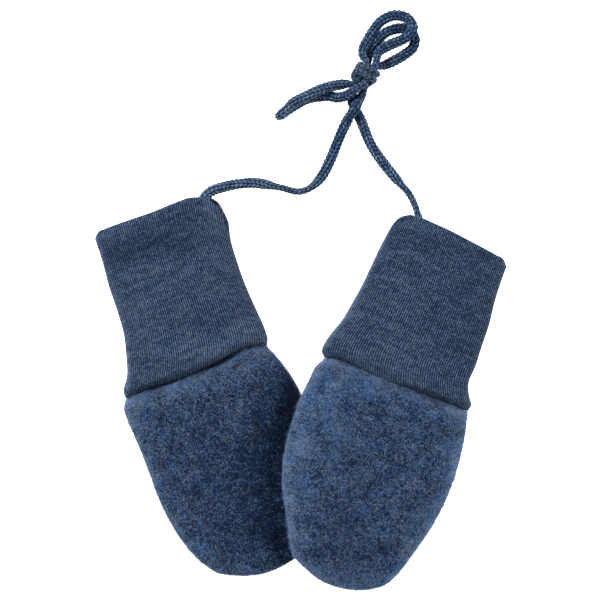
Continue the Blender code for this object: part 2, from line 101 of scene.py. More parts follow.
LEFT = Mitten(
    side="left",
    wrist=(-45.2, 8.3),
    turn=12.6,
    mouth=(
        Mouth(-1.00, -68.4, -68.4),
        Mouth(-0.93, -70.4, -70.2),
        Mouth(-0.80, -71.3, -71.1),
        Mouth(-0.50, -72.5, -72.3),
        Mouth(-0.10, -73.8, -73.6),
        Mouth(0.30, -75.6, -75.2),
        Mouth(0.55, -76.2, -76.0),
        Mouth(0.72, -74.6, -75.6),
        Mouth(0.86, -71.0, -73.4),
        Mouth(0.95, -66.6, -69.4),
        Mouth(1.00, -63.0, -63.0),
    ),
    seam=(
        Seam(-1.00, 2.8, 0.70),
        Seam(-0.70, 1.6, 1.10),
        Seam(-0.40, 0.8, 0.95),
        Seam(-0.10, -0.3, 0.80),
        Seam(0.15, -1.9, 1.30),
        Seam(0.40, -3.9, 1.25),
        Seam(0.60, -6.6, 1.10),
        Seam(0.75, -7.5, 0.95),
        Seam(0.88, -7.0, 0.70),
        Seam(1.00, -6.2, 0.40),
    ),
    cuff=(
        Cuff(0.00, 30.8, 28.2, 9.4, 3.1),
        Cuff(0.15, 29.8, 27.4, 9.8, 3.1),
        Cuff(0.30, 29.4, 28.0, 10.0, 3.1),
        Cuff(0.45, 28.3, 28.9, 10.2, 3.1),
        Cuff(0.60, 27.6, 30.4, 10.4, 3.2),
        Cuff(0.75, 28.7, 32.2, 10.8, 3.3),
        Cuff(0.88, 30.6, 33.6, 11.8, 3.4),
        Cuff(0.95, 33.2, 33.8, 11.4, 3.4),
        Cuff(1.00, 33.3, 33.2, 10.2, 3.3),
    ),
    hand=(
        Hand(0.0, 33.3, 33.2, 10.2, 3.3),
        Hand(4.0, 34.7, 35.3, 12.2, 3.6),
        Hand(10.0, 34.4, 38.6, 13.4, 3.8),
        Hand(18.0, 32.8, 42.0, 13.8, 3.9),
        Hand(30.0, 30.9, 44.3, 14.0, 3.9),
        Hand(42.0, 29.4, 44.8, 14.0, 3.9),
        Hand(54.0, 27.4, 43.2, 13.8, 3.9),
        Hand(65.0, 24.2, 39.6, 13.4, 3.8),
        Hand(74.0, 20.2, 35.8, 12.8, 3.7),
        Hand(81.0, 15.8, 32.4, 12.2, 3.6),
        Hand(HAND_LENGTH, 10.8, 28.0, 11.6, 3.5),
    ),
)

RIGHT = Mitten(
    side="right",
    wrist=(42.3, 3.0),
    turn=-10.7,
    mouth=(
        Mouth(-1.00, -66.0, -66.0),
        Mouth(-0.94, -69.8, -70.4),
        Mouth(-0.85, -73.0, -73.4),
        Mouth(-0.74, -74.9, -74.8),
        Mouth(-0.60, -75.0, -74.7),
        Mouth(-0.30, -73.4, -73.2),
        Mouth(0.00, -71.4, -71.2),
        Mouth(0.40, -68.1, -67.9),
        Mouth(0.80, -64.7, -64.5),
        Mouth(0.94, -63.2, -63.1),
        Mouth(1.00, -61.0, -61.0),
    ),
    seam=(
        Seam(-1.00, -7.2, 0.50),
        Seam(-0.85, -7.7, 0.90),
        Seam(-0.65, -6.3, 0.90),
        Seam(-0.40, -4.4, 0.60),
        Seam(-0.15, -2.3, 0.35),
        Seam(0.10, -0.8, 0.80),
        Seam(0.45, 1.4, 1.45),
        Seam(0.75, 2.9, 1.30),
        Seam(1.00, 4.2, 0.60),
    ),
    cuff=(
        Cuff(0.00, 16.5, 37.8, 9.4, 3.1),
        Cuff(0.10, 18.3, 36.7, 9.7, 3.1),
        Cuff(0.25, 20.6, 35.6, 10.0, 3.1),
        Cuff(0.40, 22.9, 35.1, 10.2, 3.1),
        Cuff(0.55, 25.8, 33.7, 10.4, 3.2),
        Cuff(0.70, 29.0, 32.5, 10.8, 3.2),
        Cuff(0.82, 32.8, 30.9, 11.6, 3.3),
        Cuff(0.90, 34.8, 32.3, 11.8, 3.4),
        Cuff(0.96, 35.2, 34.0, 11.2, 3.4),
        Cuff(1.00, 34.0, 33.3, 10.2, 3.3),
    ),
    hand=(
        Hand(0.0, 34.0, 33.3, 10.2, 3.3),
        Hand(4.0, 36.6, 33.4, 12.4, 3.6),
        Hand(10.0, 38.6, 33.8, 13.7, 3.8),
        Hand(18.0, 40.9, 33.7, 14.2, 3.9),
        Hand(30.0, 42.9, 33.0, 14.6, 4.0),
        Hand(42.0, 43.0, 31.2, 14.6, 4.0),
        Hand(54.0, 40.8, 28.0, 14.4, 3.9),
        Hand(65.0, 36.7, 23.6, 13.8, 3.8),
        Hand(74.0, 34.0, 19.4, 13.0, 3.7),
        Hand(81.0, 30.2, 15.7, 12.2, 3.6),
        Hand(HAND_LENGTH, 22.4, 11.2, 11.6, 3.5),
    ),
)

for mitten in (LEFT, RIGHT):
    widest = max(row.left + row.right for row in mitten.hand)
    print(f"The {mitten.side} hand is {widest:.0f} mm wide at its widest")

# %% [markdown]
# ## Camera
#
# The set is seen from straight above. A camera could stand close with a wide lens, but then
# the sides of the cloth would spread outwards. From a metre away they stay upright.

# %% Place the camera
VIEW_WIDTH = 264.0
VIEW_CENTRE = (0.0, 41.7)
VIEW_HEIGHT = 4.0       # height above the floor at which the view is that wide
CAMERA_HEIGHT = 1100.0
SENSOR_WIDTH = 36.0

camera_data = bpy.data.cameras.new("camera")
camera_data.sensor_width = SENSOR_WIDTH
camera_data.lens = SENSOR_WIDTH * (CAMERA_HEIGHT - VIEW_HEIGHT) / VIEW_WIDTH
camera = bpy.data.objects.new("camera", camera_data)
camera.location = (
    (VIEW_CENTRE[0] + LAYOUT[0]) * MM,
    (VIEW_CENTRE[1] + LAYOUT[1]) * MM,
    CAMERA_HEIGHT * MM,
)
bpy.context.scene.collection.objects.link(camera)
bpy.context.scene.camera = camera
print(f"Lens {camera_data.lens:.0f} mm")

# %% [markdown]
# ## Curves
#
# Blender has curves of its own, but these sections have to be read at any place between two
# rows of a table. So one function draws every smooth curve: through the values of a table,
# or through the points of the cord's route.

# %% Reading smooth curves
def column(rows, name):
    """One named column of a table."""
    return np.array([getattr(row, name) for row in rows])


def smooth(places, values, at, level=()):
    """The smooth curve through the values at these places, read at other places.

    The curve runs level at the ends that are listed, 0 for its start and -1 for its end.
    """
    at = np.clip(at, places[0], places[-1])
    slopes = np.gradient(values, places)
    for end in level:
        slopes[end] = 0.0
    i = np.clip(np.searchsorted(places, at, side="right") - 1, 0, len(places) - 2)
    span = places[i + 1] - places[i]
    t = (at - places[i]) / span
    rise = values[i + 1] - values[i]
    bend_in = slopes[i] * span - rise
    bend_out = rise - slopes[i + 1] * span
    return values[i] + t * rise + t * (1 - t) * ((1 - t) * bend_in + t * bend_out)


def ease(start, end, at):
    """0 up to start, 1 from end on, and a soft slope between."""
    t = np.clip((at - start) / (end - start), 0.0, 1.0)
    return t * t * (3 - 2 * t)


def unit(vectors):
    """The same directions, each with a length of 1."""
    return vectors / np.linalg.norm(vectors, axis=-1, keepdims=True)


half_way = smooth(column(LEFT.hand, "along"), column(LEFT.hand, "right"), HAND_LENGTH / 2)
print(f"Half way along, the left hand reaches {half_way:.1f} mm to the right of its axis")

# %% [markdown]
# ## The cord's route
#
# The cord is doubled and tied once, so two cords run side by side through the knot: from the
# left cuff into the lower turn, round the outer loop, out along the tail, back from its fold,
# round the inner loop, and through the upper turn to the right cuff. Each point has the place
# of the cord's middle and its girth, the thickness there as a share of the full thickness,
# because a pulled knot draws the cord thinner. Points of the knot are given across it, along
# its bundle and up. A cord could be dropped by a simulation, but a simulated knot seldom
# ends up as it should, so every point here is given one by one.

# %% Route points
KNOT_CENTRE = (29.3, 141.7)
KNOT_TURN = -29.0       # degrees that the knot's bundle is turned
DRAWN = 0.76            # girth of the cord in the knot


def knot(across, along, up, girth=DRAWN):
    """A route point given in the knot's own directions."""
    turn = radians(KNOT_TURN)
    x = KNOT_CENTRE[0] + across * np.cos(turn) - along * np.sin(turn)
    y = KNOT_CENTRE[1] + across * np.sin(turn) + along * np.cos(turn)
    return (x, y, up, girth)


FROM_LEFT_CUFF = [
    (-44.0, 81.8, 4.25, 1.0),
    (-42.5, 86.1, 4.35, 1.0),
    (-39.3, 89.4, 3.40, 1.0),
    (-33.8, 91.5, 2.00, 1.0),
    (-26.3, 93.0, 1.85, 1.0),
    (-19.3, 93.3, 1.85, 1.0),
    (-8.7, 91.3, 1.85, 1.0),
    (-0.4, 89.5, 1.85, 1.0),
    (4.7, 91.3, 1.85, 1.0),
    (9.5, 96.1, 1.85, 1.0),
    (13.1, 102.9, 1.85, 1.0),
    (17.5, 113.7, 1.85, 1.0),
    (20.6, 120.3, 2.50, 1.0),
    (24.3, 126.3, 6.20, 1.0),
    (27.5, 132.5, 2.30, 0.92),
]
LOWER_TURN = [
    knot(2.4, -5.4, 1.6, 0.80),
    knot(3.4, -2.9, 1.5),
    knot(4.3, -1.5, 3.9),
    knot(4.25, -1.5, 7.8),
    knot(3.0, -1.5, 10.1),
    knot(0.0, -1.5, 10.4),
    knot(-2.4, -1.6, 10.15),
    knot(-4.1, -2.1, 9.2),
    knot(-4.4, -3.2, 8.2),
    knot(-4.0, -4.6, 7.55),
    knot(-2.8, -5.1, 7.35),
    knot(-1.7, -4.2, 7.3),
]
OUTER_LOOP = [
    knot(-1.45, -1.2, 7.3),
    knot(-1.8, 3.4, 7.2, 0.80),
    (27.5, 149.2, 5.70, 0.92),
    (28.2, 152.9, 3.50, 1.0),
    (32.2, 160.1, 1.90, 1.0),
    (35.7, 164.6, 1.85, 1.0),
    (41.9, 167.2, 1.85, 1.0),
    (47.4, 165.7, 2.50, 1.0),
    (49.5, 161.8, 5.00, 1.0),
    (48.5, 158.4, 5.75, 1.0),
    (45.2, 156.3, 4.60, 1.0),
    (39.2, 153.8, 3.30, 1.0),
    (34.7, 150.7, 4.60, 0.95),
    knot(1.6, 5.2, 7.2, 0.82),
]
TAIL_OUT = [
    knot(1.45, 1.5, 7.3),
    knot(1.45, -1.5, 7.3),
    knot(1.5, -4.1, 7.6, 0.78),
    knot(0.6, -6.9, 8.0, 0.85),
    knot(-0.8, -9.4, 7.2, 0.92),
    (20.9, 131.8, 5.20, 1.0),
    (16.8, 130.9, 2.90, 1.0),
    (12.4, 131.6, 1.85, 1.0),
    (3.2, 130.4, 1.85, 1.0),
    (-2.2, 127.5, 1.85, 1.0),
    (-5.9, 124.8, 1.85, 0.95),
]
TAIL_FOLD = [
    (-7.9, 123.4, 1.86, 0.95),
    (-9.0, 122.7, 2.40, 0.95),
    (-9.5, 122.5, 3.65, 0.95),
    (-9.1, 122.9, 4.90, 0.95),
    (-8.1, 123.6, 5.45, 0.95),
]
TAIL_BACK = [
    (-6.1, 125.2, 5.45, 0.95),
    (-2.9, 128.3, 5.45, 1.0),
    (2.3, 131.2, 5.45, 1.0),
    (7.6, 133.7, 5.10, 1.0),
    (12.4, 135.4, 3.90, 1.0),
    (17.0, 136.4, 3.60, 1.0),
    (20.9, 136.8, 4.30, 0.92),
    knot(-1.9, -7.5, 4.8, 0.80),
    knot(0.6, -5.8, 4.6),
    knot(1.45, -3.2, 4.4),
]
INNER_LOOP = [
    knot(1.45, 0.0, 4.4),
    knot(1.75, 3.4, 4.4, 0.78),
    (37.3, 145.2, 2.10, 0.95),
    (41.7, 147.3, 1.85, 1.0),
    (46.3, 150.0, 1.85, 1.0),
    (49.9, 153.2, 1.85, 1.0),
    (50.4, 157.3, 1.85, 1.0),
    (46.1, 161.2, 1.85, 1.0),
    (41.4, 161.0, 1.85, 1.0),
    (37.0, 159.0, 1.85, 1.0),
    (33.6, 154.9, 1.85, 1.0),
    (31.2, 151.3, 2.30, 0.95),
    knot(-1.45, 3.4, 4.2, 0.80),
]
UPPER_TURN = [
    knot(-1.45, 0.2, 4.4),
    knot(-1.45, -3.0, 4.4),
    knot(-1.95, -4.35, 4.4),
    knot(-3.1, -4.85, 4.4),
    knot(-3.95, -4.3, 4.4),
    knot(-4.3, -3.0, 4.4),
    knot(-4.35, -0.9, 4.9),
    knot(-4.3, 0.7, 6.1),
    knot(-4.25, 1.2, 8.3),
    knot(-2.8, 1.5, 9.9),
    knot(0.0, 1.5, 10.25),
    knot(3.0, 1.5, 9.85),
    knot(4.2, 1.5, 7.6),
    knot(4.3, 1.5, 3.9),
    knot(3.2, 1.2, 1.7),
    knot(0.3, -1.2, 1.42),
    knot(-1.0, -4.4, 1.45, 0.80),
]
TO_RIGHT_CUFF = [
    (24.3, 135.5, 1.60, 0.88),
    (22.8, 132.1, 1.85, 1.0),
    (24.2, 125.9, 1.85, 1.0),
    (26.6, 121.4, 1.85, 1.0),
    (31.1, 110.5, 1.85, 1.0),
    (37.7, 100.8, 1.85, 1.0),
    (44.3, 92.9, 1.85, 1.0),
    (48.0, 88.6, 1.85, 1.0),
    (50.3, 84.2, 2.60, 1.0),
    (51.6, 80.0, 4.20, 1.0),
    (52.3, 77.0, 4.35, 1.0),
    (53.2, 73.2, 4.25, 1.0),
]
ROUTE = np.array(
    FROM_LEFT_CUFF + LOWER_TURN + OUTER_LOOP + TAIL_OUT + TAIL_FOLD + TAIL_BACK
    + INNER_LOOP + UPPER_TURN + TO_RIGHT_CUFF
)
print(f"The route has {len(ROUTE)} points")

# %% [markdown]
# ## The knitted cord
#
# A tubular knitted cord has a few columns of stitches round it, each stitch a V of two legs.
# It could be a smooth tube with its stitches only shaded on, but then its outline would be
# smooth too. So a ring of points follows the route, and each point stands out as far as the
# yarn does there.

# %% Smooth route, evenly spaced
RING_STEP = 0.3
CURVE_POINTS = 20000    # points that the route's curve is measured with
CORD_LIFT = 0.1         # room for the stitches that stand out under the cord


def even_route(route, step):
    """Points a step apart on the smooth curve through the route, with their girth."""
    chords = np.linalg.norm(np.diff(route[:, :3], axis=0), axis=1)
    places = np.concatenate([[0.0], np.cumsum(np.sqrt(chords))])
    fine = np.linspace(0, places[-1], CURVE_POINTS)
    curve = np.stack([smooth(places, axis, fine) for axis in route.T], axis=-1)
    steps = np.linalg.norm(np.diff(curve[:, :3], axis=0), axis=1)
    run = np.concatenate([[0.0], np.cumsum(steps)])
    at = np.linspace(0, run[-1], int(run[-1] / step) + 1)
    return np.stack([np.interp(at, run, axis) for axis in curve.T], axis=-1), at


cord_line, cord_run = even_route(ROUTE, RING_STEP)
cord_line[:, 2] += CORD_LIFT
print(f"Cord {cord_run[-1]:.0f} mm long, {len(cord_line)} rings")

# %% [markdown]
# The rings could each be turned to face up, but then the stitches would jump where the cord
# stands on end. They keep their direction from one to the next instead, and the whole cord
# has a slow twist of its own. Where it lies loose, its own weight makes it a little flat.

# %% Rings round the route
CORD_AROUND = 32        # points in a ring
CORD_TWIST = 2 * pi / 150.0     # one turn in 150 mm
LEG_GAP = 0.35          # how high the yarn still is between two stitches
BEAD_ROUNDNESS = 0.7    # below 1 is rounder than a wave
GROOVE = 0.72           # radius in the grooves, as a share of the cord's own
CREST = 0.40            # how much further out the crest of a stitch stands
FLAT_WIDTH = 1.25       # how much wider than round the loose cord lies
FLAT_HEIGHT = 0.8       # how much it loses in height for what it gains in width
LOOSE_GIRTH = (0.86, 1.0)   # girths from which it starts to be loose, and is
STEEP = (0.4, 0.8)      # slopes at which a rising cord starts to be round, and is
LOWEST_YARN = 0.05      # nothing reaches lower, so that the cord lies on the floor
# Where the flat cord has turned up on its edge: x, y and how far it does.
ON_EDGE = [(-3.0, 90.0, 11.0), (48.5, 86.0, 10.0)]


def carried_directions(tangents):
    """A direction across each tangent, carried along without turning round it."""
    directions = [unit(np.cross(tangents[0], (0.0, 0.0, 1.0)))]
    for tangent in tangents[1:]:
        previous = directions[-1]
        directions.append(unit(previous - tangent * (previous @ tangent)))
    return np.array(directions)


def stitch_height(around, run):
    """How far the yarn stands out, 0 to 1, at a place round and along the cord."""
    place = (around / (2 * pi) * CORD_COLUMNS) % 1.0 - 0.5
    # A half circle stands over each of the two legs, and a rounded bead over each stitch.
    leg = np.clip(1 - (4 * abs(place) - 1) ** 2, 0, 1) ** 0.5
    beat = run / CORD_STITCH + CORD_SLANT * abs(place)
    bead = abs(np.sin(pi * beat)) ** BEAD_ROUNDNESS
    return leg * (LEG_GAP + (1 - LEG_GAP) * bead)


def flattened(offsets, tangents, girth, points):
    """The rings' offsets where the tube lies flat: wider, and less thick."""
    loose = ease(*LOOSE_GIRTH, girth) * (1 - ease(*STEEP, abs(tangents[:, 2])))
    # A cord that stands upright has no wide side, so the tiny offset picks any.
    wide = unit(np.cross(tangents, (0.0, 0.0, 1.0)) + [1e-9, 0.0, 0.0])
    for x, y, reach in ON_EDGE:
        turn = pi / 2 * np.exp(-(np.hypot(points[:, 0] - x, points[:, 1] - y) / reach) ** 4)
        thick = np.cross(wide, tangents)
        wide = wide * np.cos(turn)[:, None] + thick * np.sin(turn)[:, None]
    share = ((FLAT_WIDTH - 1) * loose)[:, None, None]
    across = (offsets * wide[:, None]).sum(axis=-1, keepdims=True) * wide[:, None]
    return across * (1 + share) + (offsets - across) * (1 - share * FLAT_HEIGHT)


# %% [markdown]
# Each ring stands square to the route and is turned a little further than the one before.
# How far its points stand out follows the stitches, column by column.

# %% Draw the rings
tangents = unit(np.gradient(cord_line[:, :3], axis=0))
sides = carried_directions(tangents)
tops = np.cross(tangents, sides)
around = (np.arange(CORD_AROUND) * 2 * pi / CORD_AROUND)[None, :]
turned = around + CORD_TWIST * cord_run[:, None]
outward = np.cos(turned)[..., None] * sides[:, None] + np.sin(turned)[..., None] * tops[:, None]
radius = CORD_THICKNESS / 2 * cord_line[:, 3:4]
radius = radius * (GROOVE + CREST * stitch_height(around + 0 * turned, cord_run[:, None]))
offsets = flattened(outward * radius[..., None], tangents, cord_line[:, 3], cord_line)
cord_rings = cord_line[:, None, :3] + offsets
cord_rings[..., 2] = np.maximum(cord_rings[..., 2], LOWEST_YARN)
print(f"The cord reaches {cord_rings[..., 2].max():.1f} mm up, at the knot")

# %% [markdown]
# ## Meshes
#
# Cloth could be shaped with modifiers, but stitches, folds and tones have to stay in step
# with each other. So every piece starts as a grid of points: rows along it, and columns round
# or across it.

# %% From grids of points to pieces
def grid_faces(rows, columns, closed_round, closed_along=False):
    """Faces between neighbouring rows and columns."""
    index = np.arange(rows * columns).reshape(rows, columns)
    if closed_round:
        index = np.concatenate([index, index[:, :1]], axis=1)
    if closed_along:
        index = np.concatenate([index, index[:1]], axis=0)
    corners = index[:-1, :-1], index[:-1, 1:], index[1:, 1:], index[1:, :-1]
    return np.stack(corners, axis=-1).reshape(-1, 4)


def new_piece(name, points, faces, material):
    """A smooth mesh piece from points in millimetres. All of them ride on the one body."""
    mesh = bpy.data.meshes.new(name)
    mesh.from_pydata((np.asarray(points).reshape(-1, 3) + LAYOUT) * MM, [], faces)
    mesh.shade_smooth()
    mesh.materials.append(material)
    piece = bpy.data.objects.new(name, mesh)
    bpy.context.scene.collection.objects.link(piece)
    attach(piece, "root")
    return piece


def add_map(piece, name, u, v):
    """A named map that gives each point of a piece two numbers, such as wale and course."""
    layer = piece.data.uv_layers.new(name=name)
    corners = np.array([loop.vertex_index for loop in piece.data.loops])
    values = np.stack([np.ravel(u)[corners], np.ravel(v)[corners]], axis=-1)
    layer.data.foreach_set("uv", values.astype(np.float32).ravel())


def store_tone(piece, tone):
    """Give each point of a piece a number that its material adds to its tone."""
    layer = piece.data.attributes.new("tone", "FLOAT", "POINT")
    layer.data.foreach_set("value", np.ravel(tone).astype(np.float32))


def grid_normals(grid, closed_round=False):
    """Directions straight out of a surface."""
    if closed_round:
        ring = np.concatenate([grid[:, -1:], grid, grid[:, :1]], axis=1)
        across = ring[:, 2:] - ring[:, :-2]
    else:
        across = np.gradient(grid, axis=1)
    return unit(np.cross(across, np.gradient(grid, axis=0)))


print("A grid of 3 by 4 points has", len(grid_faces(3, 4, closed_round=False)), "faces")

# %% [markdown]
# ## Materials
#
# A material's nodes could be placed and linked one by one, but a long chain of them is hard
# to read. A small class lets them be written as sums. Numbers are added and multiplied by
# Math nodes, and colours are mixed by Mix nodes.

# %% A value inside a material
class Value:
    """A number, colour or vector that a material's nodes work out."""

    def __init__(self, tree, socket):
        self.tree = tree
        self.socket = socket

    def math(self, operation, other=0.0, swapped=False):
        inputs = {1: self, 0: other} if swapped else {0: self, 1: other}
        return add_node(self.tree, "ShaderNodeMath", {"operation": operation}, inputs)

    def __add__(self, other):
        return self.math("ADD", other)

    def __sub__(self, other):
        return self.math("SUBTRACT", other)

    def __mul__(self, other):
        return self.math("MULTIPLY", other)

    def __truediv__(self, other):
        return self.math("DIVIDE", other)

    def __pow__(self, other):
        return self.math("POWER", other)

    def __rsub__(self, other):
        return self.math("SUBTRACT", other, swapped=True)

    __radd__ = __add__
    __rmul__ = __mul__

    def scaled(self, x, y, z):
        """A vector with each of its parts multiplied."""
        settings = {"operation": "MULTIPLY"}
        return add_node(self.tree, "ShaderNodeVectorMath", settings, {0: self, 1: (x, y, z)})

    def between(self, low, high):
        """0 below low, 1 above high, and a straight slope between."""
        sockets = {"Value": self, "From Min": low, "From Max": high}
        return add_node(self.tree, "ShaderNodeMapRange", {}, sockets)

    def speckle(self):
        """A random value, 0 to 1, that changes at every new place. Self is the place."""
        return add_node(self.tree, "ShaderNodeTexWhiteNoise", {}, {"Vector": self})

    def swing(self, amount):
        """A random value as a change of tone that goes up as much as down."""
        return (self - 0.5) * amount

    def noise(self, size, detail=2.0, roughness=0.5, distortion=0.0):
        """Soft random values, 0 to 1, in lumps of this size. Self is the place."""
        sockets = {"Vector": self, "Scale": 1 / size, "Detail": detail}
        sockets |= {"Roughness": roughness, "Distortion": distortion}
        return add_node(self.tree, "ShaderNodeTexNoise", {}, sockets)


# %% Nodes, materials and places
def add_node(tree, kind, settings, sockets, output=0):
    """Add a node, give it its settings and then its inputs, and return one output."""
    node = tree.nodes.new(kind)
    for name, value in settings.items():
        setattr(node, name, value)
    for name, value in sockets.items():
        if isinstance(value, Value):
            tree.links.new(value.socket, node.inputs[name])
        else:
            node.inputs[name].default_value = value
    return Value(tree, node.outputs[output])


def mix_colours(tree, share, first, second, blend="MIX"):
    """A colour between two colours, or one multiplied by a share of the other."""
    colours = [c if isinstance(c, Value) else (*c, 1.0) for c in (first, second)]
    sockets = {0: share, 6: colours[0], 7: colours[1]}
    settings = {"data_type": "RGBA", "blend_type": blend}
    return add_node(tree, "ShaderNodeMix", settings, sockets, output=2)


def new_material(name, roughness, sheen=0.0):
    """A material, its node tree, and its shader, which has the faint gloss of wool."""
    material = bpy.data.materials.new(name)
    material.use_nodes = True
    shader = material.node_tree.nodes["Principled BSDF"]
    shader.inputs["Roughness"].default_value = roughness
    shader.inputs["Specular IOR Level"].default_value = 0.12
    shader.inputs["Sheen Weight"].default_value = sheen
    shader.inputs["Sheen Roughness"].default_value = 0.4
    shader.inputs["Sheen Tint"].default_value = (0.6, 0.75, 1.0, 1.0)
    return material, material.node_tree, shader


def place_in_mm(tree):
    """Where a point is, in millimetres."""
    place = add_node(tree, "ShaderNodeTexCoord", {}, {}, output=3)
    return place.scaled(1 / MM, 1 / MM, 1 / MM)


def named_map(tree, name):
    """The two numbers of a named map."""
    place = add_node(tree, "ShaderNodeUVMap", {"uv_map": name}, {})
    parts = tree.nodes.new("ShaderNodeSeparateXYZ")
    tree.links.new(place.socket, parts.inputs[0])
    return Value(tree, parts.outputs[0]), Value(tree, parts.outputs[1])


def own_tone(tree):
    """The tone that is stored at each point of a piece."""
    return add_node(tree, "ShaderNodeAttribute", {"attribute_name": "tone"}, {}, output=2)


def vector(tree, x, y, z=0.0):
    """A place made of three numbers."""
    return add_node(tree, "ShaderNodeCombineXYZ", {}, {0: x, 1: y, 2: z})


def give_bump(shader, height, distance, strength=1.0):
    """Let a height, in millimetres, shade the surface."""
    sockets = {"Strength": strength, "Distance": distance * MM, "Height": height}
    bump = add_node(height.tree, "ShaderNodeBump", {}, sockets)
    height.tree.links.new(bump.socket, shader.inputs["Normal"])


# %% [markdown]
# ### Yarn colours
#
# The wool is dyed in the fibre and mixed: navy, mid-blue, a pale grey-blue and a little olive
# brown. One flat blue would look like plastic, so every finish here picks from the same
# mixture. Tone picks from dark to pale, and the warm share lets the olive in.

# %% Melange
NAVY = (0.005, 0.013, 0.036)
BLUE = (0.018, 0.048, 0.112)
MID_BLUE = (0.050, 0.110, 0.225)
PALE = (0.210, 0.280, 0.380)
YARNS = [(0.05, NAVY), (0.42, BLUE), (0.78, MID_BLUE), (1.20, PALE)]    # tone and colour
WARM = (0.98, 0.86, 0.80)   # what each colour is multiplied by where brown wool shows
COOL = (0.56, 0.82, 1.10)   # and where there is none
JERSEY_WARM = (1.32, 1.00, 0.82)    # the finer yarn of the cuffs has more of the brown
JERSEY_COOL = (1.00, 0.98, 1.02)
JERSEY_PALEST = 0.92        # its palest tone
CORD_WARM = (1.06, 0.98, 0.90)      # and the cord's yarn lies between the two
CORD_COOL = (0.88, 0.98, 1.06)


def melange(tree, tone, warm, tints=(COOL, WARM)):
    """The colour of the mixed wool for a tone and a warm share, both about 0 to 1."""
    low, colour = YARNS[0]
    for high, paler in YARNS[1:]:
        colour = mix_colours(tree, tone.between(low, high), colour, paler)
        low = high
    tint = mix_colours(tree, warm, *tints)
    return mix_colours(tree, 1.0, colour, tint, blend="MULTIPLY")


print(len(YARNS), "yarn colours, from tone", YARNS[0][0], "to", YARNS[-1][0])

# %% [markdown]
# The jersey's colour runs along its courses, because each is knitted from one yarn: long
# streaks, finer ones from course to course, and a little noise from stitch to stitch. Its
# stitches are V shapes, two legs to a wale. They could come from an image file laid on the
# cloth, but a pattern worked out from the number of each wale and course stays sharp, and
# follows the cloth wherever it goes. Lengths in it are in wales and courses.

# %% Jersey material
JERSEY_TONE = -0.52         # in the valleys between wales, painted as shade
CREST_LIGHT = 1.4            # painted light: how much paler the crest of a wale is painted
COURSE_APART = 7.3          # steps that keep two courses, or two wales, from looking alike
WALE_APART = 3.1


def jersey_material():
    material, tree, shader = new_material("cuff jersey", 0.85, sheen=0.15)
    wale, course = named_map(tree, "knit")
    streak = vector(tree, wale / 16.0, course / 5.0).noise(1.0, detail=3.0, roughness=0.6)
    row = vector(tree, wale / 9.0, course.math("FLOOR") * COURSE_APART)
    row = row.noise(1.0, roughness=0.6)
    yarn = vector(tree, wale.math("FLOOR") * WALE_APART, course / 3.0)
    yarn = yarn.noise(1.0, roughness=0.8)
    fibre = vector(tree, wale, course).noise(0.5, detail=1.0)
    across = (wale.math("FRACT") - 0.5).math("ABSOLUTE") * 2.0
    crest = 1.0 - across**1.6
    stitch = vector(tree, wale.math("FLOOR"), course.math("FLOOR")).speckle()
    tone = streak.swing(1.0) + row.swing(0.5) + stitch.swing(0.6)
    # painted shade in the valleys between wales, and painted light on their crests
    tone = tone + yarn.swing(0.3) + fibre.swing(1.2) + crest * CREST_LIGHT + JERSEY_TONE
    tone = (tone + own_tone(tree)).math("MINIMUM", JERSEY_PALEST)
    brown = vector(tree, wale / 13.0, course / 5.0, 5.0).noise(1.0, detail=3.0)
    colour = melange(tree, tone, brown.between(0.25, 0.68), (JERSEY_COOL, JERSEY_WARM))
    tree.links.new(colour.socket, shader.inputs["Base Color"])

    slant = (course + across * 0.8).math("FRACT")
    gap = (slant - 0.5).math("ABSOLUTE") * 2.0
    give_bump(shader, crest * (1.0 - gap**4.0) + fibre * 0.4, distance=0.35)
    return material


jersey = jersey_material()
print(f"{jersey.name}: {len(jersey.node_tree.nodes)} nodes")

# %% [markdown]
# Brushed fleece is a felt of crossing fibres. It could be all bump and colour, but then its
# edge would be as sharp as card. So its own surface is lumpy, and painted darker as shade
# at the base of a nap, and fibres that stand on it are added below. Both take their colours
# from one pattern, in lumps from a quarter of a millimetre to six or seven across.

# %% Fleece material
FLEECE_TONE = 0.26          # of the cloth itself, darker than the fibres as painted shade
NAP_TONE = 0.45             # and of the fibres on it


def fleece_pattern(tree):
    """Tone and warm share of the mixed wool at a place, as in the cloth so in its nap."""
    place = place_in_mm(tree)
    tuft = place.noise(0.8, roughness=0.6)
    blotch = place.noise(6.5, detail=3.0, roughness=0.6, distortion=0.5)
    clump = place.noise(2.2, roughness=0.65, distortion=0.5)
    speck = place.noise(0.26, detail=1.0, roughness=0.6)
    tone = blotch.swing(1.6) + clump.swing(0.25) + speck.swing(1.7)
    tone = tone + own_tone(tree) * (1.0 + tuft.swing(2.4))
    brown = place.scaled(1.0, 1.0, 1.4).noise(5.0, detail=3.0, roughness=0.6, distortion=0.6)
    return tone, brown.between(0.32, 0.72)


def fleece_material():
    material, tree, shader = new_material("fleece", 0.95, sheen=0.3)
    place = place_in_mm(tree)
    tone, warm = fleece_pattern(tree)
    fibre = place.noise(0.3, roughness=0.7, distortion=1.5)
    colour = melange(tree, FLEECE_TONE + tone + fibre.swing(0.9), warm)
    tree.links.new(colour.socket, shader.inputs["Base Color"])
    lump = place.noise(1.3, detail=3.0, roughness=0.65, distortion=0.5)
    give_bump(shader, lump * 0.6 + fibre * 0.4, distance=0.5)
    return material


def nap_material():
    """Loose fibres: each has its own tone, round the tone of the cloth that it stands on."""
    material, tree, shader = new_material("fleece nap", 0.8, sheen=0.4)
    tone, warm = fleece_pattern(tree)
    colour = melange(tree, NAP_TONE + tone, warm)
    tree.links.new(colour.socket, shader.inputs["Base Color"])
    return material


fleece = fleece_material()
fleece_nap = nap_material()
for wool in (fleece, fleece_nap):
    print(f"{wool.name}: {len(wool.node_tree.nodes)} nodes")

# %% [markdown]
# The cord's yarn is thick, so a stitch shows its single threads, and each stitch its tone.
# The threads could be modelled, but at a tenth of a millimetre a fine bump shows as much.

